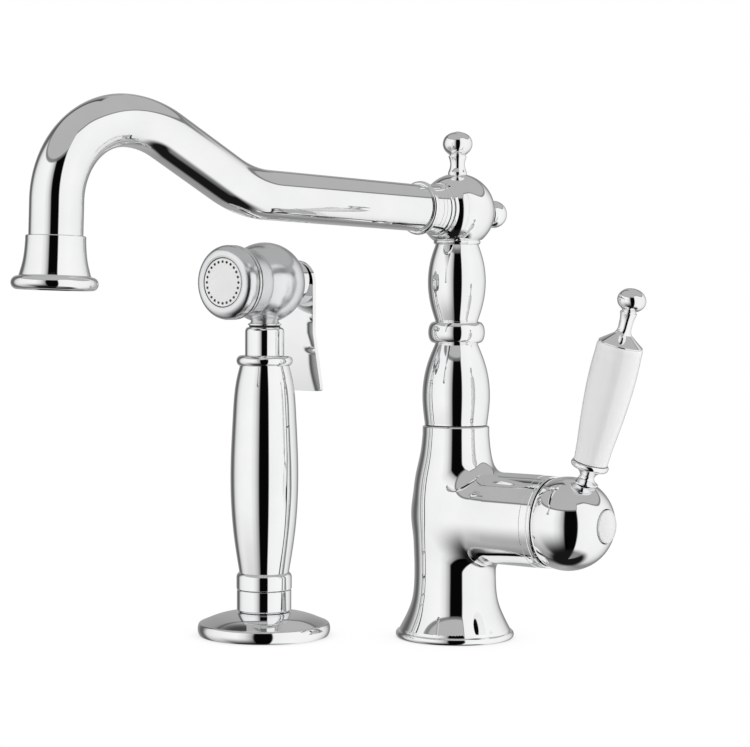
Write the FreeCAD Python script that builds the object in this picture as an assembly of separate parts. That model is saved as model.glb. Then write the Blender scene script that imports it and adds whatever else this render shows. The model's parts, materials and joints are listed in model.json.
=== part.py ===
import FreeCAD, Part
import math
import os

# A deck-mounted kitchen mixer with a swivel spout, a side lever and a pull-out hand spray
# that stands in its own deck flange. Millimetres and degrees, +Z up, the deck at Z = 0,
# the mixer's axis at the origin, its lever side towards +X and its front towards -Y.

V = FreeCAD.Vector

# Fits and gaps
RUN_FIT = 0.05          # radial play of a turning or sliding fit
SNUG_FIT = 0.05         # radial play of a piece that is screwed or pushed home
AIR_GAP = 0.3           # room between pieces that move past each other
SWIVEL_PLAY = 0.1       # axial play of the spout on its washer

# Foot and inlets
FOOT_RING_OUT = 9.9    # each foot and body radius named OUT is taken from the inlet block's radius
FOOT_RING_H = 3.2
FOOT_RING_ROUND = 1.5
GASKET_IN_OUT = 2.8
GASKET_OUT_OUT = 7.0
GASKET_T = 2.0
INLET_R = 18.0
INLET_H = 18.0
STUD_HOLE_R = 3.4
STUD_HOLE_DEPTH = 14.0
PORT_THREAD_R = 4.5
PORT_THREAD_DEPTH = 12.0
PORT_R = 3.0
PORT_OFFSET = 10.0

# Mixer body
FOOT_EDGE_OUT = 8.1
FOOT_EDGE_H = 0.9
FLARE_OUT = 4.6
FLARE_Z = 11.0
ANKLE_OUT = 2.5
ANKLE_Z = 16.7
WAIST_OUT = 1.3
WAIST_Z = 26.0
BELLY_OUT = 2.1
BELLY_Z = 54.0
SHOULDER_R = 18.7
SHOULDER_Z = 77.6
COLLARBONE_R = 16.6
COLLARBONE_Z = 87.6
BODY_NECK_R = 15.7
BODY_NECK_Z = 96.0
BODY_TOP_Z = 100.0
BODY_TOP_ROUND = 1.1
BRANCH_Z = 57.8
BRANCH_WALL = 2.8
BRANCH_SWELL = 1.4
BRANCH_SWELL_X = 26.0
BRANCH_END_X = 49.2
CHAMBER_FLOOR_X = 34.0
COUNTERBORE_X = 44.0
COUNTERBORE_LAND = 6.0
HOT_COLD_DROP = 4.0
OUTLET_RISE = 6.0

# Cartridge
CASE_R = 12.5
CASE_WALL = 2.0
CASE_FRONT_X = 58.0
CASE_FLANGE_W = 2.5
CASE_FLANGE_T = 1.9
CASE_BASE_T = 7.0
PORT_SEAL_T = 1.2
PORT_SEAL_WALL = 1.4
DISC_PORT_Y = 5.6
DISC_PORT_R = 2.2
FIXED_DISC_T = 3.5
DISC_ROOM = 2.3
MOVING_DISC_T = 3.4
DISC_FILM = 0.05
CARRIER_T = 4.0
SOCKET_R = 3.2
ROTOR_T = 2.5
CLIP_W = 2.0
ROTOR_END_X = 66.5
CLIP_T = 1.2
SLOT_HALF_Y = 4.1
NUT_T = 1.6

# Lever
PIVOT_X = 62.5
FLOW_ANGLE = 20.0
PIN_R = 1.5
PIN_SINK = 0.7
SPINDLE_SIDE = 7.0
SPINDLE_SHORT = 5.6
SPINDLE_TAIL_R = 2.0
SPINDLE_BALL_R = 2.8
SPINDLE_BALL_X = 52.6
DOME_PROUD = 0.1
DOME_WALL = 1.8
DOME_RIM_TOP_X = 51.4
DOME_RIM_LOW_X = 55.6
DOME_BOSS_R = 8.6
DOME_BOSS_X = 70.0
SCREW_R = 2.0
SCREW_HEAD_R = 3.5
SCREW_HEAD_T = 3.0
SCREW_LENGTH = 9.0
HEX_KEY_R = 1.5
INDEX_R = 7.8
INDEX_SINK = 2.3
INDEX_T = 3.7
INDEX_CROWN = 0.7
BONNET_STEP = 0.3
BONNET_FLOOR_T = 1.1
BONNET_RIM_X = 51.2
BONNET_RIM_GROOVE = 0.5
BONNET_COLLAR_X = 57.0
LEVER_LEAN = 15.7
LEVER_X = 66.0
LEVER_BOSS_R = 6.0
LEVER_BOSS_DEPTH = 5.0
ROD_R = 2.5
COLLAR_FOOT_R = 5.9
COLLAR_NECK_R = 4.0
COLLAR_NECK_S = 23.3
COLLAR_RIM_R = 8.6
COLLAR_RIM_S = 25.7
COLLAR_TOP_S = 29.0
GRIP_WASHER_T = 0.6
GRIP_LOW_R = 7.75
GRIP_WIDE_R = 10.6
GRIP_WIDE_S = 79.0
GRIP_TOP_R = 8.9
GRIP_ROUND_S = 6.0
CAP_EDGE_R = 8.6
CAP_EDGE_T = 1.0
CAP_NECK_R = 3.3
CAP_NECK_UP = 11.5
CAP_BALL_R = 6.65
CAP_BALL_UP = 19.3

# Swivel and diverter
NIPPLE_R = 9.0
NIPPLE_TOP_Z = 128.0
NIPPLE_BORE_R = 4.0
NIPPLE_SOCKET_R = 10.0
NIPPLE_SOCKET_DEPTH = 14.0
SEAL_CORD_R = 1.0
SEAL_LOW_Z = 115.0
SEAL_PITCH = 8.0
WASHER_R = 14.3
WASHER_T = 0.9
DIVERTER_R = 6.0
DIVERTER_FLOOR_Z = 61.0
DIVERTER_LOW_Z = 68.5
DIVERTER_H = 9.0
DIVERTER_BORE_R = 3.0
DIVERTER_STROKE = 4.0
SPRING_WIRE = 0.9

# Column and hub
COLUMN_DRAWN_H = 84.0   # the marks up the column are drawn at this height and stretch with it
COLUMN_FOOT_R = 14.6
COLUMN_BELLY_R = 15.9
COLUMN_BELLY_UP = 12.5
COLUMN_SLOPE_R = 13.5
COLUMN_SLOPE_UP = 28.5
COLUMN_WAIST_R = 9.95
COLUMN_BEAD_R = 13.2
COLUMN_BEAD_UP = 42.8
COLUMN_BEAD_HALF = 5.2
VASE_LOW_R = 12.0
VASE_LOW_UP = 54.5
VASE_R = 13.6
VASE_UP = 66.1
VASE_HIGH_R = 12.2
VASE_HIGH_UP = 77.5
COLUMN_TOP_R = 10.1
COLUMN_TOP_Z = 185.0
COLUMN_BORE_R = 6.5
HUB_R = 17.7
HUB_SEAT = 15.6
HUB_COLLAR_R = 12.0
HUB_SPIGOT_R = 8.0
HUB_SPIGOT_H = 7.0
HUB_BORE_R = 6.0
HUB_CHAMBER_TOP = 6.0
GRUB_R = 2.5
GRUB_Z = 108.0
GRUB_TIP_R = 8.5
GRUB_GROOVE_R = 8.2

# Finials
STUD_R = 3.0
STUD_LENGTH = 8.0
TOP_FOOT_R = 4.6
TOP_NECK_R = 3.6
TOP_NECK_UP = 22.3
TOP_RIM_UP = 25.8
TOP_GROOVE_R = 3.75
TOP_BALL_R = 7.2
TOP_BALL_UP = 31.4
TOP_BALL_HALF = 6.0
REAR_FOOT_R = 5.0
REAR_NECK_R = 3.7
REAR_NECK_AT = 20.2
REAR_BALL_AT = 25.3
REAR_BALL_R = 6.5

# Spout
SPOUT_TURN = -8.0
SPOUT_RISE = 1.7
SPOUT_CLIMB = 27.0
TUBE_R = 10.75
TUBE_WALL = 1.2
TUBE_START = 12.5
TUBE_SEAL_T = 1.5
LOW_BEND_R = 55.0
CREST_R = 46.0
FALL_R = 34.5
LEG_LEAN = 1.8
LEG_TOP_REACH = 231.3
CREST_UP = 31.0
LEG_LENGTH = 19.684
TUBE_END_UP = 15.5
FERRULE_START = 13.6
FERRULE_END = 27.2
FERRULE_R = 11.9
FERRULE_MID_R = 11.25
FERRULE_BEAD = 2.6
BELL_TOP_UP = 21.4
BELL_STEP_R = 11.9
BELL_STEP_UP = 19.4
BELL_UPPER_R = 12.5
BELL_UPPER_UP = 15.5
BELL_MID_R = 13.3
BELL_MID_UP = 10.8
BELL_FLARE_R = 15.2
BELL_LIP_TOP_UP = 5.3
BELL_LIP_R = 17.3
BELL_MOUTH_R = 14.4
BELL_MOUTH_DEPTH = 2.4
BELL_BORE_R = 11.5
AERATOR_LOW_UP = 2.2
AERATOR_TOP_UP = 12.0
AERATOR_WALL = 1.5
AERATOR_LEDGE_T = 1.2
SCREEN_T = 3.0
SCREEN_HOLE_R = 0.8
SCREEN_RINGS = 3

# Hand spray: place, flange and hose end
SPRAY_X = -74.0
SPRAY_Y = -52.0
FLANGE_R = 31.3
FLANGE_FOOT_R = 30.4
FLANGE_WALL_Z = 3.8
FLANGE_SHELL = 2.4
FLANGE_MID_R = 24.5
FLANGE_MID_Z = 9.0
FLANGE_TOP_R = 13.4
FLANGE_TOP_Z = 10.9
FLANGE_RIM_W = 3.4
FLANGE_BOSS_R = 16.0
FLANGE_BOSS_Z = 0.6
FLANGE_LIP_T = 1.6
FLANGE_THREAD_R = 12.1
FLANGE_THREAD_LENGTH = 4.6
BUSH_R = 11.8
HOSE_NUT_R = 12.9
HOSE_NUT_TOP_Z = 21.6
HOSE_CONE_TOP_Z = 12.2
HOSE_CONE_LOW_R = 8.0
HOSE_CONE_LOW_Z = 6.2
HOSE_INLET_R = 6.0
HOSE_INLET_DEPTH = 11.0
SPIGOT_R = 8.0
SPIGOT_BORE_R = 4.0
SPIGOT_TOP_Z = 37.0
SPIGOT_RING_Z = 28.0
SPIGOT_CORD_R = 0.8
SPIGOT_CLIP_R = 9.0
SPIGOT_CLIP_T = 1.0
SPIGOT_GROOVE = 1.0

# Hand spray: handle
HANDLE_RING_R = 13.1
HANDLE_RING_TOP_Z = 27.6
HANDLE_STEP_R = 11.75
HANDLE_STEP_Z = 29.8
HANDLE_LOW_R = 14.4
HANDLE_LOW_Z = 47.1
HANDLE_R = 16.0
HANDLE_Z = 79.0
HANDLE_HIGH_R = 14.95
HANDLE_HIGH_Z = 104.3
HANDLE_SLOPE_R = 13.2
HANDLE_SLOPE_Z = 121.4
HANDLE_NECK_R = 11.7
HANDLE_BEAD_R = 13.3
HANDLE_BEAD_Z = 127.5
HANDLE_TOP_Z = 132.4
SOCKET_TOP_Z = 34.6
LOWER_BORE_R = 9.6
LOWER_BORE_TOP_Z = 60.0
MIDDLE_BORE_R = 7.5
MIDDLE_BORE_TOP_Z = 104.0
NECK_SOCKET_R = 9.0
CHECK_VALVE_H = 14.0
CHECK_VALVE_BORE_R = 4.5
NECK_R = 9.25
NECK_TOP_Z = 146.0
NECK_ROUND = 2.2
NECK_BORE_R = 4.5

# Hand spray: head, face and trigger
HEAD_Z = 166.7
HEAD_R = 19.0
HEAD_FOOT_R = 7.7
HEAD_FOOT_GAP = 0.7
HEAD_FOOT_FLARE = 4.0
BARREL_ROOT_R = 14.8
BARREL_ROOT_AT = 11.0
BARREL_R = 16.8
BARREL_END = 21.0
GROOVE_R = 16.4
GROOVE_W = 0.9
BEAD_RING_R = 17.3
BEAD_RING_W = 1.6
BEZEL_R = 17.3
BEZEL_SIDE_END = 26.6
BEZEL_FRONT = 30.6
BEZEL_MOUTH_R = 12.4
PLATE_R = 11.5
PLATE_T = 3.0
PLATE_SINK = 0.4
NOZZLE_COUNT = 24
NOZZLE_RING_R = 9.6
NOZZLE_R = 0.5
FACE_CHAMBER_R = 10.0
SEAT_BACK = 5.5
SEAT_T = 2.5
SEAT_R = 4.0
VALVE_BORE_R = 9.0
REAR_CUT = 14.5
REAR_BOSS_R = 10.4
REAR_BOSS_END = 22.3
REAR_BOSS_SLANT = 10.0
REAR_SPIGOT = 6.0
PLUNGER_R = 2.5
PLUNGER_HEAD_R = 6.0
PLUNGER_HEAD_T = 2.2
PLUNGER_SEAL_T = 1.5
PLUNGER_COLLAR_R = 5.4
PLUNGER_COLLAR_AT = 4.0
PLUNGER_COLLAR_T = 1.5
PADDLE_HALF_W = 10.9
PADDLE_T = 2.3
PADDLE_KINK_Z = 143.0
PADDLE_FLARE = 12.5
PADDLE_LOW_Z = 114.8
PADDLE_CORNER_R = 2.0
LUG_HALF_W = 3.0
LUG_HALF_H = 2.4
LUG_REACH = 4.4
TRIGGER_PIN_UP = 6.6
TRIGGER_PIN_BACK = 19.8
TRIGGER_PIN_R = 1.25
TRIGGER_PIN_HALF = 6.6

# Sizes that follow from the sizes above
FOOT_RING_R = INLET_R + FOOT_RING_OUT
GASKET_IN_R = INLET_R + GASKET_IN_OUT
GASKET_OUT_R = INLET_R + GASKET_OUT_OUT
FOOT_EDGE_R = INLET_R + FOOT_EDGE_OUT
FLARE_R = INLET_R + FLARE_OUT
ANKLE_R = INLET_R + ANKLE_OUT
WAIST_R = INLET_R + WAIST_OUT
BELLY_R = INLET_R + BELLY_OUT
COUNTERBORE_R = CASE_R + COUNTERBORE_LAND
BRANCH_R = COUNTERBORE_R + BRANCH_WALL
BRANCH_ROOT_R = BRANCH_R - BRANCH_SWELL
BONNET_R = BRANCH_R - BONNET_STEP
DOME_R = BRANCH_R + DOME_PROUD
INDEX_SEAT_X = PIVOT_X + DOME_R - INDEX_SINK
SPINDLE_END_X = INDEX_SEAT_X - SPINDLE_SHORT
CASE_FLANGE_R = CASE_R + CASE_FLANGE_W
MOVING_DISC_R = CASE_R - CASE_WALL - DISC_ROOM
ROTOR_NECK_R = CASE_R - CASE_WALL - CLIP_W
SLOT_HALF_Z = ROTOR_NECK_R - AIR_GAP
PIN_LENGTH = 2 * (ROTOR_NECK_R - PIN_SINK)
GRIP_TOP_S = GRIP_WIDE_S + GRIP_ROUND_S
CAP_NECK_S = GRIP_TOP_S + CAP_NECK_UP
CAP_BALL_S = GRIP_TOP_S + CAP_BALL_UP
HUB_Z = COLUMN_TOP_Z + HUB_SEAT
CREST_Z = HUB_Z + CREST_UP

# Places that follow from the sizes above
SPRAY = FreeCAD.Placement(V(SPRAY_X, SPRAY_Y, 0), FreeCAD.Rotation())
HEAD = FreeCAD.Placement(V(SPRAY_X, SPRAY_Y, HEAD_Z), FreeCAD.Rotation(V(1, 0, 0), 90))
BRANCH = FreeCAD.Placement(V(0, 0, BRANCH_Z), FreeCAD.Rotation(V(0, 1, 0), 90))
LEVER = FreeCAD.Placement(V(LEVER_X, 0, BRANCH_Z), FreeCAD.Rotation(V(0, 1, 0), LEVER_LEAN))
SPOUT = FreeCAD.Placement(V(0, 0, 0), FreeCAD.Rotation(V(0, 0, 1), SPOUT_TURN))
SPOUT_LINE = SPOUT.multiply(
    FreeCAD.Placement(V(0, 0, HUB_Z), FreeCAD.Rotation(V(1, 0, 0), 90 - SPOUT_RISE)))
LEG_TOP_Z = CREST_Z - FALL_R * (1 - math.sin(math.radians(LEG_LEAN)))
LEG = FreeCAD.Placement(V(0, -LEG_TOP_REACH, LEG_TOP_Z), FreeCAD.Rotation(V(1, 0, 0), -LEG_LEAN))
OUTLET = SPOUT.multiply(LEG).multiply(
    FreeCAD.Placement(V(0, 0, -LEG_LENGTH - TUBE_END_UP), FreeCAD.Rotation()))
PIVOT = V(PIVOT_X, 0, BRANCH_Z)
CHAMBER_R = CASE_R + AIR_GAP
AERATOR_R = BELL_BORE_R - SNUG_FIT
CASE_BACK_X = CHAMBER_FLOOR_X + PORT_SEAL_T
FIXED_DISC_X = CASE_BACK_X + CASE_BASE_T
MOVING_DISC_X = FIXED_DISC_X + FIXED_DISC_T + DISC_FILM
CARRIER_X = MOVING_DISC_X + MOVING_DISC_T
ROTOR_X = CARRIER_X + CARRIER_T + AIR_GAP
ROTOR_R = CASE_R - CASE_WALL - RUN_FIT
NUT_X = COUNTERBORE_X + CASE_FLANGE_T
DISC_STROKE = math.sin(math.radians(FLOW_ANGLE)) * (PIVOT_X - SPINDLE_BALL_X)
DISC_Z = BRANCH_Z - DISC_STROKE / 2
NIPPLE_LOW_Z = BODY_TOP_Z - NIPPLE_SOCKET_DEPTH
COLUMN_LOW_Z = BODY_TOP_Z + WASHER_T + SWIVEL_PLAY
HANDLE_LOW_EDGE_Z = HOSE_NUT_TOP_Z + AIR_GAP
HEAD_LOW_Z = NECK_TOP_Z + HEAD_FOOT_GAP
BUSH_LOW_Z = FLANGE_BOSS_Z + FLANGE_THREAD_LENGTH
BUSH_TOP_Z = FLANGE_TOP_Z - FLANGE_LIP_T
CONE_SLOPE = (HOSE_NUT_R - HOSE_CONE_LOW_R) / (HOSE_CONE_TOP_Z - HOSE_CONE_LOW_Z)
CONE_GAP = AIR_GAP * math.hypot(1, CONE_SLOPE)
SEAT_FRONT = SEAT_BACK + SEAT_T
FACE_START = BARREL_END + GROOVE_W
BEZEL_BACK = FACE_START + BEAD_RING_W


def at(radius, height):
    return V(radius, 0, height)


def arc(middle, end):
    """A round stretch of an outline, through a middle point to an end point."""
    return ("arc", middle, end)


def curve(*points):
    """A smooth stretch of an outline through the points after the one before it."""
    return ("curve", points)


def outline(*steps):
    """A closed face from steps of (radius, height) points, arcs and smooth curves."""
    here = at(*steps[0])
    edges = []
    for step in steps[1:] + (steps[0],):
        if step[0] == "arc":
            there = at(*step[2])
            edges.append(Part.Arc(here, at(*step[1]), there).toShape())
        elif step[0] == "curve":
            there = at(*step[1][-1])
            line = Part.BSplineCurve()
            line.interpolate([here] + [at(*p) for p in step[1]])
            edges.append(line.toShape())
        else:
            there = at(*step)
            if here.distanceToPoint(there) > 1e-6:
                edges.append(Part.makeLine(here, there))
        here = there
    return Part.Face(Part.Wire(edges))


def placed(shape, place):
    shape.Placement = place.multiply(shape.Placement)
    return shape


def turned(*steps, place=FreeCAD.Placement()):
    """A solid turned from an outline about its own upright axis, then put in place."""
    solid = outline(*steps).revolve(V(0, 0, 0), V(0, 0, 1), 360)
    return placed(solid, place)


def rod(radius, low, high, place=FreeCAD.Placement(), x=0.0, y=0.0):
    return placed(Part.makeCylinder(radius, high - low, V(x, y, low)), place)


def ring(outer, inner, low, high, place=FreeCAD.Placement(), x=0.0, y=0.0):
    body = rod(outer, low, high, place, x, y)
    return body.cut(rod(inner, low, high, place, x, y))


def block(low, high):
    """A box between two corners."""
    size = high - low
    return Part.makeBox(size.x, size.y, size.z, low)


def cord_ring(middle_r, cord_r, height, place=FreeCAD.Placement()):
    return placed(Part.makeTorus(middle_r, cord_r, V(0, 0, height)), place)


def joined(*solids):
    return solids[0].fuse(list(solids[1:])).removeSplitter()


def without(solid, *cutters):
    return solid.cut(list(cutters))


def group(*solids):
    return Part.makeCompound(list(solids))


# Foot, body and inlets


def base_ring():
    low_edge = FOOT_RING_R - FOOT_RING_ROUND / 2
    body = turned(
        (INLET_R + SNUG_FIT, 0),
        (low_edge, 0),
        arc((FOOT_RING_R, FOOT_RING_H / 2), (low_edge, FOOT_RING_H)),
        (INLET_R + SNUG_FIT, FOOT_RING_H))
    return without(body, ring(GASKET_OUT_R + SNUG_FIT, GASKET_IN_R - SNUG_FIT, 0, GASKET_T))


def base_gasket():
    return ring(GASKET_OUT_R, GASKET_IN_R, 0, GASKET_T)


def port_places():
    """Hot, cold and spray ports in plan."""
    return [(0, PORT_OFFSET), (0, -PORT_OFFSET), (-PORT_OFFSET, 0)]


def inlet_block():
    body = without(rod(INLET_R, 0, INLET_H), rod(STUD_HOLE_R, 0, STUD_HOLE_DEPTH))
    for x, y in port_places():
        thread = rod(PORT_THREAD_R, 0, PORT_THREAD_DEPTH, x=x, y=y)
        body = without(body, thread, rod(PORT_R, 0, INLET_H, x=x, y=y))
    return body


def body_column(extra=0.0):
    """Outer shape of the mixer's body, turned, with its radii grown by extra."""
    foot_z = FOOT_RING_H + FOOT_EDGE_H
    round_z = BODY_TOP_Z - BODY_TOP_ROUND
    round_r = BODY_NECK_R - BODY_TOP_ROUND
    bend = BODY_TOP_ROUND * math.sqrt(0.5)
    marks = [(FLARE_R, FLARE_Z), (ANKLE_R, ANKLE_Z), (WAIST_R, WAIST_Z), (BELLY_R, BELLY_Z),
             (SHOULDER_R, SHOULDER_Z), (COLLARBONE_R, COLLARBONE_Z), (BODY_NECK_R, BODY_NECK_Z)]
    return turned(
        (0, FOOT_RING_H),
        (FOOT_EDGE_R + extra, FOOT_RING_H),
        (FOOT_EDGE_R + extra, foot_z),
        curve(*[(radius + extra, height) for radius, height in marks]),
        (BODY_NECK_R + extra, round_z),
        arc((round_r + extra + bend, round_z + bend), (round_r + extra, BODY_TOP_Z)),
        (0, BODY_TOP_Z))


def water_passages():
    """Hot and cold ways to the cartridge, its outlet and the way to the spray."""
    inlet_z = BRANCH_Z - HOT_COLD_DROP
    ways = [rod(PORT_R, -PORT_OFFSET, CHAMBER_FLOOR_X, BRANCH, x=-OUTLET_RISE)]
    for x, y in port_places():
        top = inlet_z if y else BRANCH_Z + OUTLET_RISE
        ways.append(rod(PORT_R, INLET_H, top, x=x, y=y))
    for side in (-1, 1):
        ways.append(rod(PORT_R, 0, CHAMBER_FLOOR_X, BRANCH, x=HOT_COLD_DROP, y=side * DISC_PORT_Y))
        near = min(side * PORT_OFFSET, side * DISC_PORT_Y)
        far = max(side * PORT_OFFSET, side * DISC_PORT_Y)
        ways.append(block(V(-PORT_R, near, inlet_z - PORT_R), V(PORT_R, far, inlet_z + PORT_R)))
    return ways


def body_foot():
    """Flared foot of the body, around the inlet block."""
    return body_column().common(ring(FOOT_RING_R, INLET_R + SNUG_FIT, 0, INLET_H))


def mixer_body():
    upper = without(body_column(), rod(FOOT_RING_R, 0, INLET_H))
    return without(
        upper, *water_passages(),
        rod(NIPPLE_SOCKET_R, NIPPLE_LOW_Z, BODY_TOP_Z),
        rod(DIVERTER_R, DIVERTER_FLOOR_Z, NIPPLE_LOW_Z))


def side_branch():
    """Branch for the cartridge, saddled onto the body and swelling out of it."""
    body = turned(
        (0, 0), (BRANCH_ROOT_R, 0),
        arc((BRANCH_R - (BRANCH_R - BRANCH_ROOT_R) / 4, BRANCH_SWELL_X / 2), (BRANCH_R, BRANCH_SWELL_X)),
        (BRANCH_R, BRANCH_END_X),
        (0, BRANCH_END_X), place=BRANCH)
    return without(
        body, body_column(SNUG_FIT), *water_passages(),
        rod(CHAMBER_R, CHAMBER_FLOOR_X, BRANCH_END_X, BRANCH),
        rod(COUNTERBORE_R, COUNTERBORE_X, BRANCH_END_X, BRANCH))


# Cartridge


def disc_ports(radius, low, high):
    """Hot, cold and outlet passages through the discs, along the branch."""
    passages = [rod(radius, low, high, BRANCH, x=-OUTLET_RISE)]
    for side in (-1, 1):
        passages.append(rod(radius, low, high, BRANCH, x=HOT_COLD_DROP, y=side * DISC_PORT_Y))
    return passages


def cartridge_case():
    inner_r = CASE_R - CASE_WALL
    flange_end = COUNTERBORE_X + CASE_FLANGE_T
    body = turned(
        (0, CASE_BACK_X), (CASE_R, CASE_BACK_X), (CASE_R, COUNTERBORE_X),
        (CASE_FLANGE_R, COUNTERBORE_X), (CASE_FLANGE_R, flange_end), (CASE_R, flange_end),
        (CASE_R, CASE_FRONT_X), (inner_r, CASE_FRONT_X), (inner_r, FIXED_DISC_X),
        (0, FIXED_DISC_X), place=BRANCH)
    return without(body, *disc_ports(DISC_PORT_R, CASE_BACK_X, FIXED_DISC_X))


def port_seals():
    rings = []
    outer = DISC_PORT_R + PORT_SEAL_WALL
    for passage in disc_ports(DISC_PORT_R, CHAMBER_FLOOR_X, CASE_BACK_X):
        middle = passage.CenterOfMass
        seal = placed(Part.makeCylinder(outer, PORT_SEAL_T), BRANCH)
        seal.translate(V(CHAMBER_FLOOR_X, middle.y, middle.z - BRANCH_Z))
        rings.append(without(seal, passage))
    return group(*rings)


def fixed_disc():
    disc = rod(ROTOR_R, FIXED_DISC_X, FIXED_DISC_X + FIXED_DISC_T, BRANCH)
    return without(disc, *disc_ports(DISC_PORT_R, FIXED_DISC_X, FIXED_DISC_X + FIXED_DISC_T))


def disc_blank(low, high):
    """A round plate of the sliding stack, at its closed place."""
    return rod(MOVING_DISC_R, low, high, BRANCH, x=BRANCH_Z - DISC_Z)


def moving_disc():
    low = MOVING_DISC_X
    disc = disc_blank(low, low + MOVING_DISC_T)
    bridge_end = V(low + MOVING_DISC_T / 2, DISC_PORT_Y / 2, DISC_Z + DISC_PORT_Y)
    bridge = block(V(low, -DISC_PORT_Y / 2, DISC_Z - DISC_PORT_Y), bridge_end)
    return without(disc, bridge)


def disc_carrier():
    plate = disc_blank(CARRIER_X, CARRIER_X + CARRIER_T)
    return without(plate, rod(SOCKET_R, CARRIER_X + AIR_GAP, CARRIER_X + CARRIER_T, BRANCH))


def cartridge_rotor():
    plate = rod(ROTOR_R, ROTOR_X, ROTOR_X + ROTOR_T, BRANCH)
    fork = rod(ROTOR_NECK_R, ROTOR_X, ROTOR_END_X, BRANCH)
    slot = block(V(ROTOR_X, -SLOT_HALF_Y, BRANCH_Z - SLOT_HALF_Z),
                 V(ROTOR_END_X, SLOT_HALF_Y, BRANCH_Z + SLOT_HALF_Z))
    return without(joined(plate, fork), slot, cross_rod(PIN_R + SNUG_FIT))


def cross_rod(radius):
    """A rod across the branch at the lever's pivot."""
    half = PIN_LENGTH / 2
    return Part.makeCylinder(radius, PIN_LENGTH, PIVOT - V(0, half, 0), V(0, 1, 0))


def pivot_pin():
    return cross_rod(PIN_R)


def rotor_clip():
    low = ROTOR_X + ROTOR_T + AIR_GAP
    return ring(CASE_R - CASE_WALL - SNUG_FIT, ROTOR_NECK_R + AIR_GAP, low, low + CLIP_T, BRANCH)


def cartridge_nut():
    return ring(COUNTERBORE_R - SNUG_FIT, CASE_R + SNUG_FIT, NUT_X, NUT_X + NUT_T, BRANCH)


def bonnet():
    """Trim ring with a groove that the dome's edge dips into, and a round inner collar."""
    clear_out = DOME_R + AIR_GAP
    collar_r = DOME_R - DOME_WALL - AIR_GAP
    inner_r = CASE_R + SNUG_FIT
    back = NUT_X + NUT_T
    floor = back + BONNET_FLOOR_T
    rim_mid = (BRANCH_END_X + BONNET_RIM_X) / 2
    body = turned(
        (inner_r, back), (COUNTERBORE_R - SNUG_FIT, back), (COUNTERBORE_R - SNUG_FIT, BRANCH_END_X),
        (BONNET_R, BRANCH_END_X), (BONNET_R, rim_mid - BONNET_RIM_GROOVE),
        (BONNET_R - BONNET_RIM_GROOVE, rim_mid),
        (BONNET_R, rim_mid + BONNET_RIM_GROOVE), (BONNET_R, BONNET_RIM_X),
        (inner_r, BONNET_RIM_X), place=BRANCH)
    sweep = without(Part.makeSphere(clear_out, PIVOT),
                    rod(clear_out, 0, floor, BRANCH))
    collar = without(Part.makeSphere(collar_r, PIVOT),
                     rod(clear_out, PIVOT_X - clear_out, back, BRANCH),
                     rod(clear_out, BONNET_COLLAR_X, PIVOT_X + clear_out, BRANCH),
                     rod(inner_r, 0, PIVOT_X, BRANCH))
    return joined(without(body, sweep), collar)


# Lever


def lever_spindle():
    half = SPINDLE_SIDE / 2
    bar_start = ROTOR_X + ROTOR_T / 2
    bar = block(V(bar_start, -half, BRANCH_Z - half), V(SPINDLE_END_X, half, BRANCH_Z + half))
    tail = rod(SPINDLE_TAIL_R, SPINDLE_BALL_X, bar_start + half, BRANCH)
    ball = Part.makeSphere(SPINDLE_BALL_R, V(SPINDLE_BALL_X, 0, BRANCH_Z))
    body = joined(bar, tail, ball)
    thread = rod(SCREW_R + SNUG_FIT, SPINDLE_END_X - SCREW_LENGTH, SPINDLE_END_X, BRANCH)
    return without(body, cross_rod(PIN_R + RUN_FIT), thread)


def screw_head_x():
    return SPINDLE_END_X + SCREW_HEAD_T / 2


def handle_dome():
    shell = without(Part.makeSphere(DOME_R, PIVOT), Part.makeSphere(DOME_R - DOME_WALL, PIVOT))
    boss = rod(DOME_BOSS_R, DOME_BOSS_X, PIVOT_X + DOME_R, BRANCH)
    lug_top = math.sqrt(DOME_R ** 2 - (LEVER_X - PIVOT_X) ** 2)
    lug = rod(LEVER_BOSS_R, lug_top - DOME_WALL - LEVER_BOSS_DEPTH, lug_top, LEVER)
    inside = joined(boss, lug).common(Part.makeSphere(DOME_R, PIVOT))
    body = joined(shell, inside)
    hollow_half = SPINDLE_SIDE / 2 + SNUG_FIT
    socket = block(V(DOME_BOSS_X, -hollow_half, BRANCH_Z - hollow_half),
                   V(SPINDLE_END_X, hollow_half, BRANCH_Z + hollow_half))
    top = V(DOME_RIM_TOP_X, 0, BRANCH_Z + DOME_R)
    low = V(DOME_RIM_LOW_X, 0, BRANCH_Z - DOME_R)
    far = V(DOME_RIM_TOP_X - 2 * DOME_R, 0, BRANCH_Z)
    rim = Part.Face(Part.makePolygon([top, low, far + V(0, 0, -DOME_R), far + V(0, 0, DOME_R), top]))
    rim.translate(V(0, -2 * DOME_R, 0))
    behind = rim.extrude(V(0, 4 * DOME_R, 0))
    return without(
        body, behind, socket,
        rod(SCREW_R + SNUG_FIT, SPINDLE_END_X, screw_head_x(), BRANCH),
        rod(SCREW_HEAD_R + SNUG_FIT, screw_head_x(), INDEX_SEAT_X, BRANCH),
        rod(INDEX_R + SNUG_FIT, INDEX_SEAT_X, PIVOT_X + DOME_R, BRANCH),
        rod(ROD_R + SNUG_FIT, lug_top - DOME_WALL - LEVER_BOSS_DEPTH / 2, DOME_R, LEVER))


def dome_screw():
    head = rod(SCREW_HEAD_R, screw_head_x(), screw_head_x() + SCREW_HEAD_T, BRANCH)
    shank = rod(SCREW_R, screw_head_x() - SCREW_LENGTH + AIR_GAP, screw_head_x(), BRANCH)
    key = placed(Part.Face(Part.makePolygon(hexagon(HEX_KEY_R))).extrude(V(0, 0, SCREW_HEAD_T / 2)), BRANCH)
    key.translate(V(screw_head_x() + SCREW_HEAD_T / 2, 0, 0))
    return without(joined(head, shank), key)


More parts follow.
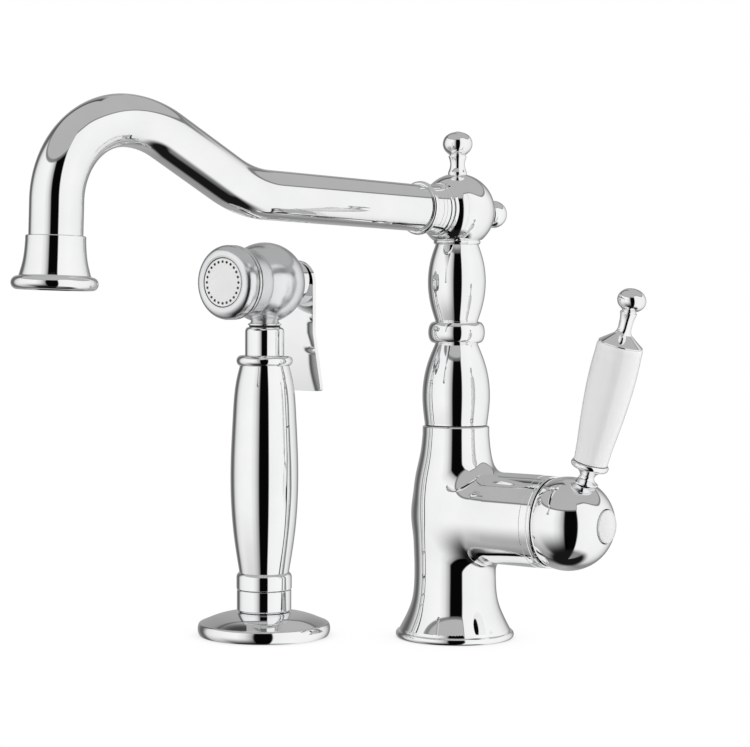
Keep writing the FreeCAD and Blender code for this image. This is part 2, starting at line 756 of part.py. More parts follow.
def hexagon(radius):
    corners = []
    for side in range(7):
        turn = math.radians(60 * side)
        corners.append(V(radius * math.cos(turn), radius * math.sin(turn), 0))
    return corners


def index_cap():
    edge = INDEX_SEAT_X + INDEX_T - INDEX_CROWN
    top = INDEX_SEAT_X + INDEX_T
    crown_r = (INDEX_R ** 2 + INDEX_CROWN ** 2) / (2 * INDEX_CROWN)
    half_crown = top - crown_r + math.sqrt(crown_r ** 2 - INDEX_R ** 2 / 4)
    return turned((0, INDEX_SEAT_X), (INDEX_R, INDEX_SEAT_X), (INDEX_R, edge),
                  arc((INDEX_R / 2, half_crown), (0, top)), place=BRANCH)


def lever_collar():
    foot_s = DOME_R - DOME_WALL
    rim_half = (COLLAR_TOP_S - COLLAR_RIM_S) / 2
    body = turned(
        (ROD_R + SNUG_FIT, foot_s),
        (COLLAR_FOOT_R, foot_s),
        curve((COLLAR_NECK_R, COLLAR_NECK_S), (COLLAR_RIM_R - rim_half, COLLAR_RIM_S)),
        arc((COLLAR_RIM_R, COLLAR_RIM_S + rim_half), (COLLAR_RIM_R - rim_half, COLLAR_TOP_S)),
        (ROD_R + SNUG_FIT, COLLAR_TOP_S), place=LEVER)
    return without(body, Part.makeSphere(DOME_R + SNUG_FIT, PIVOT))


def grip_low_s():
    return COLLAR_TOP_S + GRIP_WASHER_T


def cap_low_s():
    return GRIP_TOP_S + GRIP_WASHER_T


def lever_rod():
    low = DOME_R - DOME_WALL - LEVER_BOSS_DEPTH / 2
    return rod(ROD_R, low, CAP_NECK_S - CAP_NECK_R, LEVER)


def grip_washers():
    lower = ring(GRIP_LOW_R - AIR_GAP, ROD_R + SNUG_FIT, COLLAR_TOP_S, grip_low_s(), LEVER)
    upper = ring(GRIP_TOP_R - 2 * AIR_GAP, ROD_R + SNUG_FIT, GRIP_TOP_S, cap_low_s(), LEVER)
    return group(lower, upper)


def porcelain_grip():
    round_r = (GRIP_TOP_R + GRIP_WIDE_R) / 2 + AIR_GAP
    round_s = GRIP_TOP_S - (GRIP_TOP_S - GRIP_WIDE_S) / 4
    middle = ((GRIP_LOW_R + GRIP_WIDE_R) / 2, (grip_low_s() + GRIP_WIDE_S) / 2)
    return turned(
        (ROD_R + AIR_GAP, grip_low_s()),
        (GRIP_LOW_R, grip_low_s()),
        curve(middle, (GRIP_WIDE_R, GRIP_WIDE_S), (round_r, round_s), (GRIP_TOP_R, GRIP_TOP_S)),
        (ROD_R + AIR_GAP, GRIP_TOP_S), place=LEVER)


def lever_cap():
    low = cap_low_s()
    ball_low = CAP_BALL_S - math.sqrt(CAP_BALL_R ** 2 - CAP_NECK_R ** 2)
    cone = ((CAP_EDGE_R + CAP_NECK_R) / 2 - AIR_GAP, low + (CAP_NECK_S - low) * 0.45)
    body = turned(
        (0, low), (CAP_EDGE_R, low), (CAP_EDGE_R, low + CAP_EDGE_T),
        curve(cone, (CAP_NECK_R, CAP_NECK_S), (CAP_NECK_R, ball_low)),
        arc((CAP_BALL_R, CAP_BALL_S), (0, CAP_BALL_S + CAP_BALL_R)), place=LEVER)
    return without(body, rod(ROD_R + SNUG_FIT, low, CAP_NECK_S - CAP_NECK_R, LEVER))


# Swivel and diverter


def seal_heights():
    return [SEAL_LOW_Z, SEAL_LOW_Z + SEAL_PITCH]


def swivel_nipple():
    body = joined(rod(NIPPLE_SOCKET_R - SNUG_FIT, NIPPLE_LOW_Z, BODY_TOP_Z),
                  rod(NIPPLE_R, BODY_TOP_Z, NIPPLE_TOP_Z))
    body = without(body, rod(NIPPLE_BORE_R, NIPPLE_LOW_Z, NIPPLE_TOP_Z))
    for height in seal_heights():
        inner = NIPPLE_R - 2 * SEAL_CORD_R - SNUG_FIT
        groove = ring(NIPPLE_R + RUN_FIT, inner, height - SEAL_CORD_R, height + SEAL_CORD_R)
        body = without(body, groove)
    half = GRUB_R + AIR_GAP
    return without(body, ring(NIPPLE_R + RUN_FIT, GRUB_GROOVE_R, GRUB_Z - half, GRUB_Z + half))


def swivel_seals():
    return group(*[cord_ring(NIPPLE_R - SEAL_CORD_R, SEAL_CORD_R, z) for z in seal_heights()])


def swivel_washer():
    return ring(WASHER_R, NIPPLE_R + SNUG_FIT, BODY_TOP_Z, BODY_TOP_Z + WASHER_T)


def diverter_spool():
    low = DIVERTER_LOW_Z
    return ring(DIVERTER_R - RUN_FIT, DIVERTER_BORE_R, low, low + DIVERTER_H)


def diverter_spring():
    """Return spring of the spool, as the plain sleeve that its turns fill."""
    low = DIVERTER_LOW_Z + DIVERTER_H
    return ring(DIVERTER_R - AIR_GAP, DIVERTER_R - AIR_GAP - SPRING_WIRE, low, NIPPLE_LOW_Z)


# Column, hub and finials


def up_column(mark):
    """Height of a mark drawn up the column."""
    return COLUMN_LOW_Z + mark * (COLUMN_TOP_Z - COLUMN_LOW_Z) / COLUMN_DRAWN_H


def column():
    bead_z = up_column(COLUMN_BEAD_UP)
    bead_low = bead_z - COLUMN_BEAD_HALF
    bead_high = bead_z + COLUMN_BEAD_HALF
    bead_lift = COLUMN_BEAD_HALF * 0.75
    bead_out = COLUMN_WAIST_R + (COLUMN_BEAD_R - COLUMN_WAIST_R) * 0.72
    body = turned(
        (COLUMN_BORE_R, COLUMN_LOW_Z),
        (COLUMN_FOOT_R, COLUMN_LOW_Z),
        curve((COLUMN_BELLY_R, up_column(COLUMN_BELLY_UP)), (COLUMN_SLOPE_R, up_column(COLUMN_SLOPE_UP)),
              (COLUMN_WAIST_R, bead_low)),
        curve((bead_out, bead_z - bead_lift), (COLUMN_BEAD_R, bead_z),
              (bead_out, bead_z + bead_lift), (COLUMN_WAIST_R, bead_high)),
        curve((VASE_LOW_R, up_column(VASE_LOW_UP)), (VASE_R, up_column(VASE_UP)),
              (VASE_HIGH_R, up_column(VASE_HIGH_UP)), (COLUMN_TOP_R, COLUMN_TOP_Z)),
        (COLUMN_BORE_R, COLUMN_TOP_Z))
    bearing = rod(NIPPLE_R + RUN_FIT, COLUMN_LOW_Z, NIPPLE_TOP_Z + AIR_GAP)
    socket = rod(HUB_SPIGOT_R + SNUG_FIT, COLUMN_TOP_Z - HUB_SPIGOT_H, COLUMN_TOP_Z)
    return placed(without(body, bearing, socket, grub_hole()), SPOUT)


def grub_hole():
    return Part.makeCylinder(GRUB_R + SNUG_FIT, COLUMN_BELLY_R, V(0, 0, GRUB_Z), V(0, 1, 0))


def column_grub_screw():
    flush = COLUMN_FOOT_R
    body = Part.makeCylinder(GRUB_R, flush - GRUB_TIP_R, V(0, GRUB_TIP_R, GRUB_Z), V(0, 1, 0))
    key = Part.Face(Part.makePolygon(hexagon(HEX_KEY_R))).extrude(V(0, 0, GRUB_R))
    key.Placement = FreeCAD.Placement(V(0, flush, GRUB_Z), FreeCAD.Rotation(V(1, 0, 0), 90))
    return placed(without(body, key), SPOUT)


def hub():
    rise = math.sqrt(HUB_R ** 2 - HUB_COLLAR_R ** 2)
    ball = turned(
        (0, COLUMN_TOP_Z - HUB_SPIGOT_H), (HUB_SPIGOT_R, COLUMN_TOP_Z - HUB_SPIGOT_H),
        (HUB_SPIGOT_R, COLUMN_TOP_Z), (COLUMN_TOP_R, COLUMN_TOP_Z),
        (HUB_COLLAR_R, HUB_Z - rise),
        arc((HUB_R, HUB_Z), (0, HUB_Z + HUB_R)), place=SPOUT)
    return without(
        ball,
        rod(HUB_BORE_R, COLUMN_TOP_Z - HUB_SPIGOT_H, HUB_Z + HUB_CHAMBER_TOP),
        rod(STUD_R + SNUG_FIT, HUB_Z + HUB_R - STUD_LENGTH, HUB_Z + HUB_R),
        rod(STUD_R + SNUG_FIT, -HUB_R, STUD_LENGTH - HUB_R, SPOUT_LINE),
        rod(TUBE_R - TUBE_WALL, 0, HUB_R, SPOUT_LINE),
        rod(TUBE_R + SNUG_FIT, TUBE_START - TUBE_SEAL_T, HUB_R, SPOUT_LINE))


def off_hub(solid):
    """Trim a piece to the hub's round surface, outside its stud's width."""
    return without(solid, Part.makeSphere(HUB_R + SNUG_FIT, V(0, 0, HUB_Z)))


def top_finial():
    foot_z = HUB_Z + HUB_R - AIR_GAP
    ball_z = HUB_Z + TOP_BALL_UP
    groove_z = ball_z - TOP_BALL_HALF + AIR_GAP
    knob = turned(
        (0, foot_z - AIR_GAP), (TOP_FOOT_R, foot_z - AIR_GAP), (TOP_FOOT_R, foot_z + 2 * AIR_GAP),
        curve((TOP_NECK_R, HUB_Z + TOP_NECK_UP), (TOP_FOOT_R, HUB_Z + TOP_RIM_UP)),
        (TOP_GROOVE_R, groove_z),
        curve((TOP_BALL_R * 0.86, ball_z - TOP_BALL_HALF / 2), (TOP_BALL_R, ball_z),
              (TOP_BALL_R * 0.8, ball_z + TOP_BALL_HALF * 0.62), (0, ball_z + TOP_BALL_HALF)))
    stud = rod(STUD_R, HUB_Z + HUB_R - STUD_LENGTH, foot_z + AIR_GAP)
    return joined(off_hub(knob), stud)


def rear_finial():
    foot = HUB_R - 2 * AIR_GAP
    ball_low = REAR_BALL_AT - math.sqrt(REAR_BALL_R ** 2 - REAR_NECK_R ** 2)
    back = SPOUT_LINE.multiply(FreeCAD.Placement(V(0, 0, 0), FreeCAD.Rotation(V(1, 0, 0), 180)))
    knob = turned(
        (0, foot), (REAR_FOOT_R, foot), (REAR_FOOT_R, HUB_R + AIR_GAP),
        curve((REAR_NECK_R, REAR_NECK_AT), (REAR_NECK_R, ball_low)),
        arc((REAR_BALL_R, REAR_BALL_AT), (0, REAR_BALL_AT + REAR_BALL_R)), place=back)
    return joined(off_hub(knob), rod(STUD_R, HUB_R - STUD_LENGTH, HUB_R + AIR_GAP, back))


# Spout


def spout_path():
    """Centre line in the plane of reach and height: lines joined by tangent arcs."""
    rise = math.radians(SPOUT_RISE)
    climb = math.radians(SPOUT_CLIMB)
    lean = math.radians(LEG_LEAN)
    crest_reach = LEG_TOP_REACH - FALL_R * math.cos(lean)
    climb_end = (crest_reach - CREST_R * math.sin(climb), CREST_Z - CREST_R * (1 - math.cos(climb)))
    climb_foot = climb_end[1] - climb_end[0] * math.tan(climb)
    knee = (HUB_Z - climb_foot) / (math.tan(climb) - math.tan(rise))
    knee_z = HUB_Z + knee * math.tan(rise)
    run = LOW_BEND_R * math.tan((climb - rise) / 2)
    bend_start = (knee - run * math.cos(rise), knee_z - run * math.sin(rise))
    bend_end = (knee + run * math.cos(climb), knee_z + run * math.sin(climb))
    half = (rise + climb) / 2
    bend_mid = (bend_start[0] + LOW_BEND_R * (math.sin(half) - math.sin(rise)),
                bend_start[1] + LOW_BEND_R * (math.cos(rise) - math.cos(half)))
    crest_mid = (crest_reach - CREST_R * math.sin(climb / 2),
                 CREST_Z - CREST_R * (1 - math.cos(climb / 2)))
    half_fall = (math.pi / 2 - lean) / 2
    fall_mid = (crest_reach + FALL_R * math.sin(half_fall), CREST_Z - FALL_R * (1 - math.cos(half_fall)))
    leg_end = (LEG_TOP_REACH + LEG_LENGTH * math.sin(lean), LEG_TOP_Z - LEG_LENGTH * math.cos(lean))
    start = (TUBE_START * math.cos(rise), HUB_Z + TUBE_START * math.sin(rise))
    marks = [start, bend_start, bend_mid, bend_end, climb_end, crest_mid, (crest_reach, CREST_Z),
             fall_mid, (LEG_TOP_REACH, LEG_TOP_Z), leg_end]
    p = [V(0, -reach, height) for reach, height in marks]
    return Part.Wire([
        Part.makeLine(p[0], p[1]),
        Part.Arc(p[1], p[2], p[3]).toShape(),
        Part.makeLine(p[3], p[4]),
        Part.Arc(p[4], p[5], p[6]).toShape(),
        Part.Arc(p[6], p[7], p[8]).toShape(),
        Part.makeLine(p[8], p[9])])


def swept(radius):
    path = spout_path()
    start = path.OrderedVertexes[0].Point
    heading = path.OrderedEdges[0].tangentAt(path.OrderedEdges[0].FirstParameter)
    disc = Part.Face(Part.Wire(Part.Circle(start, heading, radius).toShape()))
    return path.makePipe(disc)


def spout_tube():
    tube = without(swept(TUBE_R), swept(TUBE_R - TUBE_WALL))
    return placed(tube, SPOUT)


def spout_seal():
    return ring(TUBE_R, TUBE_R - TUBE_WALL, TUBE_START - TUBE_SEAL_T, TUBE_START, SPOUT_LINE)


def spout_ferrule():
    inner = TUBE_R + SNUG_FIT
    body = turned(
        (inner, FERRULE_START), (FERRULE_MID_R, FERRULE_START),
        arc((FERRULE_R, FERRULE_START + FERRULE_BEAD / 2), (FERRULE_MID_R, FERRULE_START + FERRULE_BEAD)),
        (FERRULE_MID_R, FERRULE_END - FERRULE_BEAD),
        arc((FERRULE_R, FERRULE_END - FERRULE_BEAD / 2), (FERRULE_MID_R, FERRULE_END)),
        (inner, FERRULE_END), place=SPOUT_LINE)
    return off_hub(body)


def outlet_bell():
    lip_mid = BELL_LIP_TOP_UP / 2
    inner = TUBE_R + SNUG_FIT
    return turned(
        (inner, BELL_TOP_UP), (BELL_STEP_R - AIR_GAP, BELL_TOP_UP), (BELL_STEP_R, BELL_TOP_UP - AIR_GAP),
        (BELL_STEP_R, BELL_STEP_UP),
        curve((BELL_UPPER_R, BELL_UPPER_UP), (BELL_MID_R, BELL_MID_UP), (BELL_FLARE_R, BELL_LIP_TOP_UP)),
        arc((BELL_LIP_R, lip_mid), (BELL_FLARE_R, 0)),
        (BELL_MOUTH_R, 0), (BELL_BORE_R, BELL_MOUTH_DEPTH),
        (BELL_BORE_R, AERATOR_TOP_UP + AERATOR_LEDGE_T),
        (TUBE_R - TUBE_WALL, AERATOR_TOP_UP + AERATOR_LEDGE_T), (TUBE_R - TUBE_WALL, TUBE_END_UP),
        (inner, TUBE_END_UP), place=OUTLET)


def aerator_washer():
    low = AERATOR_TOP_UP
    return ring(AERATOR_R, TUBE_R - TUBE_WALL, low, low + AERATOR_LEDGE_T, OUTLET)


def aerator_case():
    inner = AERATOR_R - AERATOR_WALL
    return turned(
        (AERATOR_R, AERATOR_LOW_UP), (AERATOR_R, AERATOR_TOP_UP), (inner, AERATOR_TOP_UP),
        (inner, AERATOR_LOW_UP + AERATOR_LEDGE_T),
        (inner - AERATOR_WALL, AERATOR_LOW_UP + AERATOR_LEDGE_T),
        (inner - AERATOR_WALL, AERATOR_LOW_UP), place=OUTLET)


def aerator_screen():
    low = AERATOR_LOW_UP + AERATOR_LEDGE_T
    radius = AERATOR_R - AERATOR_WALL - SNUG_FIT
    holes = [rod(SCREEN_HOLE_R, low, low + SCREEN_T, OUTLET)]
    pitch = (radius - AERATOR_WALL - SCREEN_HOLE_R) / SCREEN_RINGS
    for turn in range(1, SCREEN_RINGS + 1):
        for step in range(6 * turn):
            angle = 2 * math.pi * step / (6 * turn)
            x = turn * pitch * math.cos(angle)
            y = turn * pitch * math.sin(angle)
            holes.append(rod(SCREEN_HOLE_R, low, low + SCREEN_T, OUTLET, x=x, y=y))
    return without(rod(radius, low, low + SCREEN_T, OUTLET), *holes)


# Hand spray: flange and hose end


def cone_radius(height):
    """Radius of the hose nut's cone at a height."""
    return HOSE_CONE_LOW_R + CONE_SLOPE * (height - HOSE_CONE_LOW_Z)


def spray_flange():
    lip_r = cone_radius(FLANGE_TOP_Z) + CONE_GAP
    lip_low_r = cone_radius(BUSH_TOP_Z) + CONE_GAP
    foot_in_r = FLANGE_FOOT_R - FLANGE_RIM_W
    roof_z = FLANGE_WALL_Z
    return turned(
        (FLANGE_THREAD_R, FLANGE_BOSS_Z), (FLANGE_BOSS_R, FLANGE_BOSS_Z),
        (FLANGE_BOSS_R, FLANGE_TOP_Z - 2 * FLANGE_SHELL),
        (FLANGE_MID_R - FLANGE_SHELL, FLANGE_MID_Z - FLANGE_SHELL), (foot_in_r, roof_z), (foot_in_r, 0),
        (FLANGE_FOOT_R, 0), arc((FLANGE_R, FLANGE_WALL_Z / 2), (FLANGE_R, FLANGE_WALL_Z)),
        curve((FLANGE_MID_R, FLANGE_MID_Z), (FLANGE_TOP_R, FLANGE_TOP_Z)),
        (lip_r, FLANGE_TOP_Z), (lip_low_r, BUSH_TOP_Z), (BUSH_R + SNUG_FIT, BUSH_TOP_Z),
        (BUSH_R + SNUG_FIT, BUSH_LOW_Z), (FLANGE_THREAD_R, BUSH_LOW_Z), place=SPRAY)


def holder_bush():
    top_r = cone_radius(BUSH_TOP_Z) + CONE_GAP
    low_r = cone_radius(HOSE_CONE_LOW_Z) + CONE_GAP
    return turned(
        (low_r, BUSH_LOW_Z), (BUSH_R, BUSH_LOW_Z), (BUSH_R, BUSH_TOP_Z), (top_r, BUSH_TOP_Z),
        (low_r, HOSE_CONE_LOW_Z), place=SPRAY)


def hose_nut():
    body = turned(
        (0, HOSE_CONE_LOW_Z), (HOSE_CONE_LOW_R, HOSE_CONE_LOW_Z), (HOSE_NUT_R, HOSE_CONE_TOP_Z),
        (HOSE_NUT_R, HOSE_NUT_TOP_Z - AIR_GAP), (HOSE_NUT_R - AIR_GAP, HOSE_NUT_TOP_Z),
        (SPIGOT_R, HOSE_NUT_TOP_Z), (SPIGOT_R, SPIGOT_TOP_Z), (0, SPIGOT_TOP_Z), place=SPRAY)
    inlet_top = HOSE_CONE_LOW_Z + HOSE_INLET_DEPTH
    ring_in = SPIGOT_R - 2 * SPIGOT_CORD_R - SNUG_FIT
    clip_low = SOCKET_TOP_Z + AIR_GAP
    return without(
        body,
        rod(HOSE_INLET_R, HOSE_CONE_LOW_Z, inlet_top, SPRAY),
        rod(SPIGOT_BORE_R, inlet_top, SPIGOT_TOP_Z, SPRAY),
        ring(SPIGOT_R + RUN_FIT, ring_in, SPIGOT_RING_Z - SPIGOT_CORD_R, SPIGOT_RING_Z + SPIGOT_CORD_R,
             SPRAY),
        ring(SPIGOT_R + RUN_FIT, SPIGOT_R - SPIGOT_GROOVE, clip_low, clip_low + SPIGOT_CLIP_T, SPRAY))


def spigot_seal():
    return cord_ring(SPIGOT_R - SPIGOT_CORD_R, SPIGOT_CORD_R, SPIGOT_RING_Z, SPRAY)


def spigot_clip():
    low = SOCKET_TOP_Z + AIR_GAP
    return ring(SPIGOT_CLIP_R, SPIGOT_R - SPIGOT_GROOVE + SNUG_FIT, low, low + SPIGOT_CLIP_T, SPRAY)


# Hand spray: handle


def spray_handle():
    bead_mid = (HANDLE_BEAD_Z + HANDLE_TOP_Z) / 2
    ring_round = HANDLE_RING_R - HANDLE_STEP_R
    body = turned(
        (MIDDLE_BORE_R, HANDLE_LOW_EDGE_Z), (HANDLE_RING_R - AIR_GAP, HANDLE_LOW_EDGE_Z),
        (HANDLE_RING_R, HANDLE_LOW_EDGE_Z + AIR_GAP), (HANDLE_RING_R, HANDLE_RING_TOP_Z),
        arc((HANDLE_STEP_R + ring_round * 0.8, HANDLE_RING_TOP_Z + ring_round * 0.8),
            (HANDLE_STEP_R, HANDLE_STEP_Z)),
        curve((HANDLE_LOW_R, HANDLE_LOW_Z), (HANDLE_R, HANDLE_Z), (HANDLE_HIGH_R, HANDLE_HIGH_Z),
              (HANDLE_SLOPE_R, HANDLE_SLOPE_Z), (HANDLE_NECK_R, HANDLE_BEAD_Z)),
        arc((HANDLE_BEAD_R, bead_mid), (HANDLE_NECK_R, HANDLE_TOP_Z)),
        (MIDDLE_BORE_R, HANDLE_TOP_Z), place=SPRAY)
    return without(
        body,
        rod(SPIGOT_R + RUN_FIT, HANDLE_LOW_EDGE_Z, SOCKET_TOP_Z, SPRAY),
        rod(LOWER_BORE_R, SOCKET_TOP_Z, LOWER_BORE_TOP_Z, SPRAY),
        rod(NECK_SOCKET_R, MIDDLE_BORE_TOP_Z, HANDLE_TOP_Z, SPRAY))


def check_valve():
    high = LOWER_BORE_TOP_Z
    return ring(LOWER_BORE_R - SNUG_FIT, CHECK_VALVE_BORE_R, high - CHECK_VALVE_H, high, SPRAY)


def spray_neck():
    shoulder = NECK_TOP_Z - NECK_ROUND
    bend = NECK_ROUND * math.sqrt(0.5)
    inner = NECK_R - NECK_ROUND
    return turned(
        (NECK_BORE_R, MIDDLE_BORE_TOP_Z), (NECK_SOCKET_R - SNUG_FIT, MIDDLE_BORE_TOP_Z),
        (NECK_SOCKET_R - SNUG_FIT, HANDLE_TOP_Z), (NECK_R, HANDLE_TOP_Z), (NECK_R, shoulder),
        arc((inner + bend, shoulder + bend), (inner, NECK_TOP_Z)), (HEAD_FOOT_R - NECK_ROUND, NECK_TOP_Z),
        (HEAD_FOOT_R - NECK_ROUND, HEAD_LOW_Z), (NECK_BORE_R, HEAD_LOW_Z), place=SPRAY)


# Hand spray: head, face and trigger. Along the head's own axis, forwards is positive.


def spray_head():
    ball = Part.makeSphere(HEAD_R, V(SPRAY_X, SPRAY_Y, HEAD_Z))
    behind = rod(HEAD_R, -HEAD_R, -REAR_CUT, HEAD)
    barrel = turned(
        (0, 0), (BARREL_ROOT_R, 0), (BARREL_ROOT_R, BARREL_ROOT_AT), (BARREL_R, BARREL_END),
        (0, BARREL_END), place=HEAD)
    foot = turned(
        (0, HEAD_LOW_Z), (HEAD_FOOT_R, HEAD_LOW_Z), (HEAD_FOOT_R, HEAD_LOW_Z + AIR_GAP),
        (HEAD_FOOT_R - AIR_GAP, HEAD_LOW_Z + HEAD_FOOT_FLARE), (0, HEAD_Z), place=SPRAY)
    body = joined(without(ball, behind), barrel, foot)
    return without(
        body,
        rod(VALVE_BORE_R + SNUG_FIT, -REAR_CUT, SEAT_BACK, HEAD),
        rod(SEAT_R, SEAT_BACK, SEAT_FRONT, HEAD),
        rod(FACE_CHAMBER_R, SEAT_FRONT, BARREL_END, HEAD),
        rod(NECK_BORE_R, HEAD_LOW_Z, HEAD_Z, SPRAY))


def bead_ring():
    grooved = ring(GROOVE_R, FACE_CHAMBER_R, BARREL_END, FACE_START, HEAD)
    middle = FACE_START + BEAD_RING_W / 2
    edge = BEAD_RING_R - BEAD_RING_W / 4
    bead = turned(
        (FACE_CHAMBER_R, FACE_START), (edge, FACE_START),
        arc((BEAD_RING_R, middle), (edge, BEZEL_BACK)), (FACE_CHAMBER_R, BEZEL_BACK), place=HEAD)
    return joined(grooved, bead)


def bezel():
    """Front ring of the spray face, which holds the plate."""
    side = BEZEL_BACK + GROOVE_W
    plate_back = BEZEL_FRONT - PLATE_SINK - PLATE_T
    bulge = ((BEZEL_R + BEZEL_MOUTH_R) / 2 + 3 * AIR_GAP, (BEZEL_SIDE_END + BEZEL_FRONT) / 2 + 3 * AIR_GAP)
    return turned(
        (FACE_CHAMBER_R, BEZEL_BACK), (GROOVE_R, BEZEL_BACK), (GROOVE_R, side), (BEZEL_R, side),
        (BEZEL_R, BEZEL_SIDE_END), arc(bulge, (BEZEL_MOUTH_R, BEZEL_FRONT)),
        (PLATE_R + SNUG_FIT, BEZEL_FRONT - AIR_GAP), (PLATE_R + SNUG_FIT, plate_back),
        (FACE_CHAMBER_R, plate_back), place=HEAD)


def spray_plate():
    high = BEZEL_FRONT - PLATE_SINK
    plate = rod(PLATE_R, high - PLATE_T, high, HEAD)
    holes = []
    for step in range(NOZZLE_COUNT):
        turn = 2 * math.pi * step / NOZZLE_COUNT
        x = NOZZLE_RING_R * math.cos(turn)
        y = NOZZLE_RING_R * math.sin(turn)
        holes.append(rod(NOZZLE_R, high - PLATE_T, high, HEAD, x=x, y=y))
    return without(plate, *holes)


def trigger_pin_place():
    return V(SPRAY_X, SPRAY_Y + TRIGGER_PIN_BACK, HEAD_Z + TRIGGER_PIN_UP)


def trigger_rod(radius, half):
    return Part.makeCylinder(radius, 2 * half, trigger_pin_place() - V(half, 0, 0), V(1, 0, 0))


def rear_boss():
    """Boss behind the ball: it guides the plunger and carries the trigger's pin."""
    drum = rod(REAR_BOSS_R, -REAR_BOSS_END, -REAR_CUT, HEAD)
    spigot = rod(VALVE_BORE_R, -REAR_CUT, REAR_SPIGOT - REAR_CUT, HEAD)
    lean = REAR_BOSS_R * 2 * math.tan(math.radians(REAR_BOSS_SLANT))
    top = V(SPRAY_X - HEAD_R, SPRAY_Y + REAR_BOSS_END, HEAD_Z + REAR_BOSS_R)
    low = top + V(0, -lean, -2 * REAR_BOSS_R)
    wedge = Part.Face(Part.makePolygon([top, low, low + V(0, 2 * lean, 0), top])).extrude(V(2 * HEAD_R, 0, 0))
    slot_half = LUG_HALF_W + AIR_GAP
    slot_low = HEAD_Z + TRIGGER_PIN_UP - LUG_HALF_H - 2 * AIR_GAP
    slot = block(V(SPRAY_X - slot_half, SPRAY_Y + REAR_BOSS_END - LUG_REACH - 3 * AIR_GAP, slot_low),
                 V(SPRAY_X + slot_half, SPRAY_Y + REAR_BOSS_END, HEAD_Z + HEAD_R))
    guide = rod(PLUNGER_R + RUN_FIT, -REAR_BOSS_END, REAR_SPIGOT - REAR_CUT, HEAD)
    pin_hole = trigger_rod(TRIGGER_PIN_R + SNUG_FIT, TRIGGER_PIN_HALF)
    return without(joined(drum, spigot), wedge, slot, guide, pin_hole)


def trigger_pin():
    return trigger_rod(TRIGGER_PIN_R, TRIGGER_PIN_HALF)


def paddle_front():
    return SPRAY_Y + REAR_BOSS_END + AIR_GAP


def trigger_paddle():
    """Blade with a round head behind the boss, straight at first and then flared outwards."""
    front = paddle_front()
    flare = math.radians(PADDLE_FLARE)
    drop = PADDLE_KINK_Z - PADDLE_LOW_Z
    low_front = front + drop * math.tan(flare)
    low_back = low_front + PADDLE_T / math.cos(flare)
    back = front + PADDLE_T
    kink_back = PADDLE_KINK_Z - PADDLE_T * math.tan(flare / 2)
    left = SPRAY_X - PADDLE_HALF_W
    side = Part.Face(Part.makePolygon([
        V(left, front, HEAD_Z), V(left, front, PADDLE_KINK_Z), V(left, low_front, PADDLE_LOW_Z),
        V(left, low_back, PADDLE_LOW_Z), V(left, back, kink_back), V(left, back, HEAD_Z),
        V(left, front, HEAD_Z)]))
    blade = side.extrude(V(2 * PADDLE_HALF_W, 0, 0))
    corners = [edge for edge in blade.Edges if is_low_corner(edge)]
    blade = blade.makeFillet(PADDLE_CORNER_R, corners)
    head = Part.makeCylinder(PADDLE_HALF_W, PADDLE_T, V(SPRAY_X, front, HEAD_Z), V(0, 1, 0))
    pin = trigger_pin_place()
    lug = block(V(SPRAY_X - LUG_HALF_W, front - LUG_REACH, pin.z - LUG_HALF_H),
                V(SPRAY_X + LUG_HALF_W, front + PADDLE_T / 2, pin.z + LUG_HALF_H))
    return without(joined(blade, head, lug), trigger_rod(TRIGGER_PIN_R + RUN_FIT, LUG_HALF_W * 2))


def is_low_corner(edge):
    """True for the two short bottom corners of the trigger's blade."""
    points = [vertex.Point for vertex in edge.Vertexes]
    level = all(abs(p.z - PADDLE_LOW_Z) < 1e-6 for p in points)
    return level and abs(points[0].x - points[1].x) < 1e-6


def valve_plunger():
    tail = REAR_BOSS_END - AIR_GAP / 2
    head_back = SEAT_FRONT + AIR_GAP + PLUNGER_SEAL_T
    stem = rod(PLUNGER_R, -tail, head_back, HEAD)
    head = rod(PLUNGER_HEAD_R, head_back, head_back + PLUNGER_HEAD_T, HEAD)
    collar_back = -PLUNGER_COLLAR_AT
    collar = rod(PLUNGER_COLLAR_R, collar_back - PLUNGER_COLLAR_T, collar_back, HEAD)
    return joined(stem, head, collar)


def plunger_seal():
    low = SEAT_FRONT + AIR_GAP
    return ring(PLUNGER_HEAD_R, PLUNGER_R + SNUG_FIT, low, low + PLUNGER_SEAL_T, HEAD)


def plunger_spring():
    """Return spring of the valve, as the plain sleeve that its turns fill."""
    inner = SEAT_R + AIR_GAP
    return ring(inner + SPRING_WIRE, inner, -PLUNGER_COLLAR_AT, SEAT_BACK, HEAD)


PIECES = [
    base_ring, base_gasket, inlet_block, body_foot, mixer_body, side_branch,
    cartridge_case, port_seals, fixed_disc, cartridge_nut, bonnet,
    cartridge_rotor, pivot_pin, rotor_clip, moving_disc, disc_carrier,
    lever_spindle, handle_dome, dome_screw, index_cap, lever_collar, lever_rod, grip_washers,
    porcelain_grip, lever_cap,
    swivel_nipple, swivel_seals, swivel_washer, diverter_spool, diverter_spring,
    column, column_grub_screw, hub, top_finial, rear_finial,
    spout_seal, spout_ferrule, spout_tube, outlet_bell, aerator_washer, aerator_case, aerator_screen,
    spray_flange, holder_bush, hose_nut, spigot_seal, spigot_clip,
    spray_handle, check_valve, spray_neck, spray_head, bead_ring, bezel, spray_plate, rear_boss,
    trigger_pin, trigger_paddle, valve_plunger, plunger_seal, plunger_spring]

os.makedirs("parts", exist_ok=True)
for make in PIECES:
    piece = make()
    name = make.__name__
    if not piece.isValid():
        raise ValueError(name + " is not a sound solid")
    print(name, len(piece.Solids), round(piece.Volume, 1))
    piece.exportStep(os.path.join("parts", name + ".step"))
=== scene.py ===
import json
import math

import bmesh
import bpy
import numpy as np
from mathutils import Matrix, Vector

